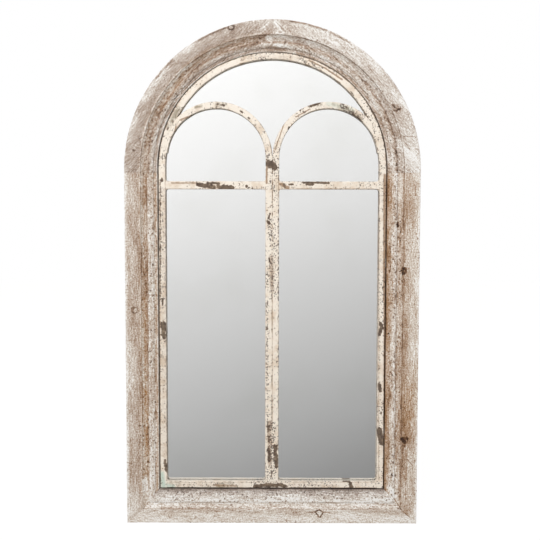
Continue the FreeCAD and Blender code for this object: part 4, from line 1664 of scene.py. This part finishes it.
@dataclass
class Studio:
    """A plain pale floor in a white room with soft light, and what the mirror shows of the room."""

    floor_half: float = 6.0
    floor: str = "#d9d6d2"
    # How bright the floor glows to the camera, and the share of that in what it sees
    floor_glow: float = 1.16
    glow_share: float = 0.8
    room_level: float = 0.52
    key_watts: float = 62.0
    key_size: float = 2.4
    key_place: tuple[float, float, float] = (-0.7, -2.3, 2.6)
    key_aim: tuple[float, float, float] = (0.0, 0.0, 0.5)
    # What a mirror sees: the slope of the line of sight, and the light that comes from there
    view_stops: tuple[Point, ...] = ((-0.30, 0.335), (-0.083, 0.70), (0.0245, 0.90), (0.15, 1.07))
    sideways: float = -0.62
    # What keeps that slope finite, and how far sideways it counts
    least_reach: float = 0.05
    widest: float = 0.3

    def build_floor(self) -> None:
        """Makes the floor. Mirrors and glass look through it to the room's light."""
        half = self.floor_half / MM
        corners = [(-half, -half, 0), (half, -half, 0), (half, half, 0), (-half, half, 0)]
        skin = Skin(np.array(corners, float), [(0, 1, 2, 3)])
        material, tree = new_tree("pale_floor")
        path = add_node(tree, "LightPath")
        matt = add_node(tree, "BsdfDiffuse", {"Color": linear(self.floor)})
        glow = add_node(tree, "Emission", {"Color": (1, 1, 1, 1), "Strength": self.floor_glow})
        seen = add_node(tree, "MixShader", {0: self.glow_share, 1: matt, 2: glow})
        lit = add_node(tree, "MixShader", {0: path.outputs["Is Camera Ray"], 1: matt, 2: seen})
        through = add_node(
            tree, "Math", {0: path.outputs["Is Glossy Ray"], 1: path.outputs["Is Transmission Ray"]},
            operation="MAXIMUM")
        clear = add_node(tree, "BsdfTransparent")
        both = add_node(tree, "MixShader", {0: through, 1: lit, 2: clear})
        add_node(tree, "OutputMaterial", {0: both})
        skin.build("floor", material)

    def build_room(self) -> None:
        """Makes the room's light: white behind, soft all round, and graded where a mirror looks."""
        world = bpy.data.worlds.new("room")
        world.use_nodes = True
        tree = world.node_tree
        tree.nodes.clear()
        path = add_node(tree, "LightPath")
        towards = add_node(tree, "TexCoord").outputs["Generated"]
        parts = add_node(tree, "SeparateXYZ", {0: towards})
        reach = add_node(tree, "Math", {0: parts.outputs["Y"]}, operation="ABSOLUTE")
        reach = add_node(tree, "Math", {0: reach, 1: self.least_reach}, operation="MAXIMUM")
        slope = add_node(tree, "Math", {0: parts.outputs["Z"], 1: reach}, operation="DIVIDE")
        across = add_node(tree, "Math", {0: parts.outputs["X"], 1: reach}, operation="DIVIDE")
        across = add_node(tree, "Clamp", {"Value": across, "Min": -self.widest, "Max": self.widest})
        low, high = self.view_stops[0][0], self.view_stops[-1][0]
        share = add_node(tree, "MapRange", {0: slope, 1: low, 2: high})
        stops = [((s - low) / (high - low), (v, v, v, 1)) for s, v in self.view_stops]
        shade = add_node(tree, "ValToRGB", {0: share}, [stops[0], stops[-1], *stops[1:-1]])
        seen = add_node(tree, "Math", {0: across, 1: self.sideways, 2: shade}, operation="MULTIPLY_ADD")
        mirrored = add_node(
            tree, "Math", {0: path.outputs["Is Glossy Ray"], 1: path.outputs["Is Transmission Ray"]},
            operation="MAXIMUM")
        level = add_node(tree, "Mix", {0: mirrored, 2: self.room_level, 3: seen})
        level = add_node(tree, "Mix", {0: path.outputs["Is Camera Ray"], 2: level, 3: 1.0})
        glow = add_node(tree, "Background", {"Color": (1, 1, 1, 1), "Strength": level})
        add_node(tree, "OutputWorld", {0: glow})
        bpy.context.scene.world = world

    def build_key(self) -> None:
        """Hangs the soft lamp above the camera."""
        data = bpy.data.lights.new("softbox", "AREA")
        data.energy = self.key_watts
        data.shape = "DISK"
        data.size = self.key_size
        lamp = bpy.data.objects.new("softbox", data)
        lamp.location = self.key_place
        aim = Vector(self.key_aim) - Vector(self.key_place)
        lamp.rotation_euler = aim.to_track_quat("-Z", "Y").to_euler()
        bpy.context.scene.collection.objects.link(lamp)

    def build(self) -> None:
        """Makes the studio."""
        self.build_floor()
        self.build_room()
        self.build_key()
        bpy.context.scene.view_settings.view_transform = "Standard"


def main() -> None:
    """Builds the camera, the studio and each sub-assembly in order."""
    logging.basicConfig(level=logging.INFO, format="%(message)s")
    CAMERA.build()
    Studio().build()
    WoodenFrame().build()
    IronGrille().build()
    Sheets().build()
    Fixings().build()


if __name__ == "__main__":
    main()
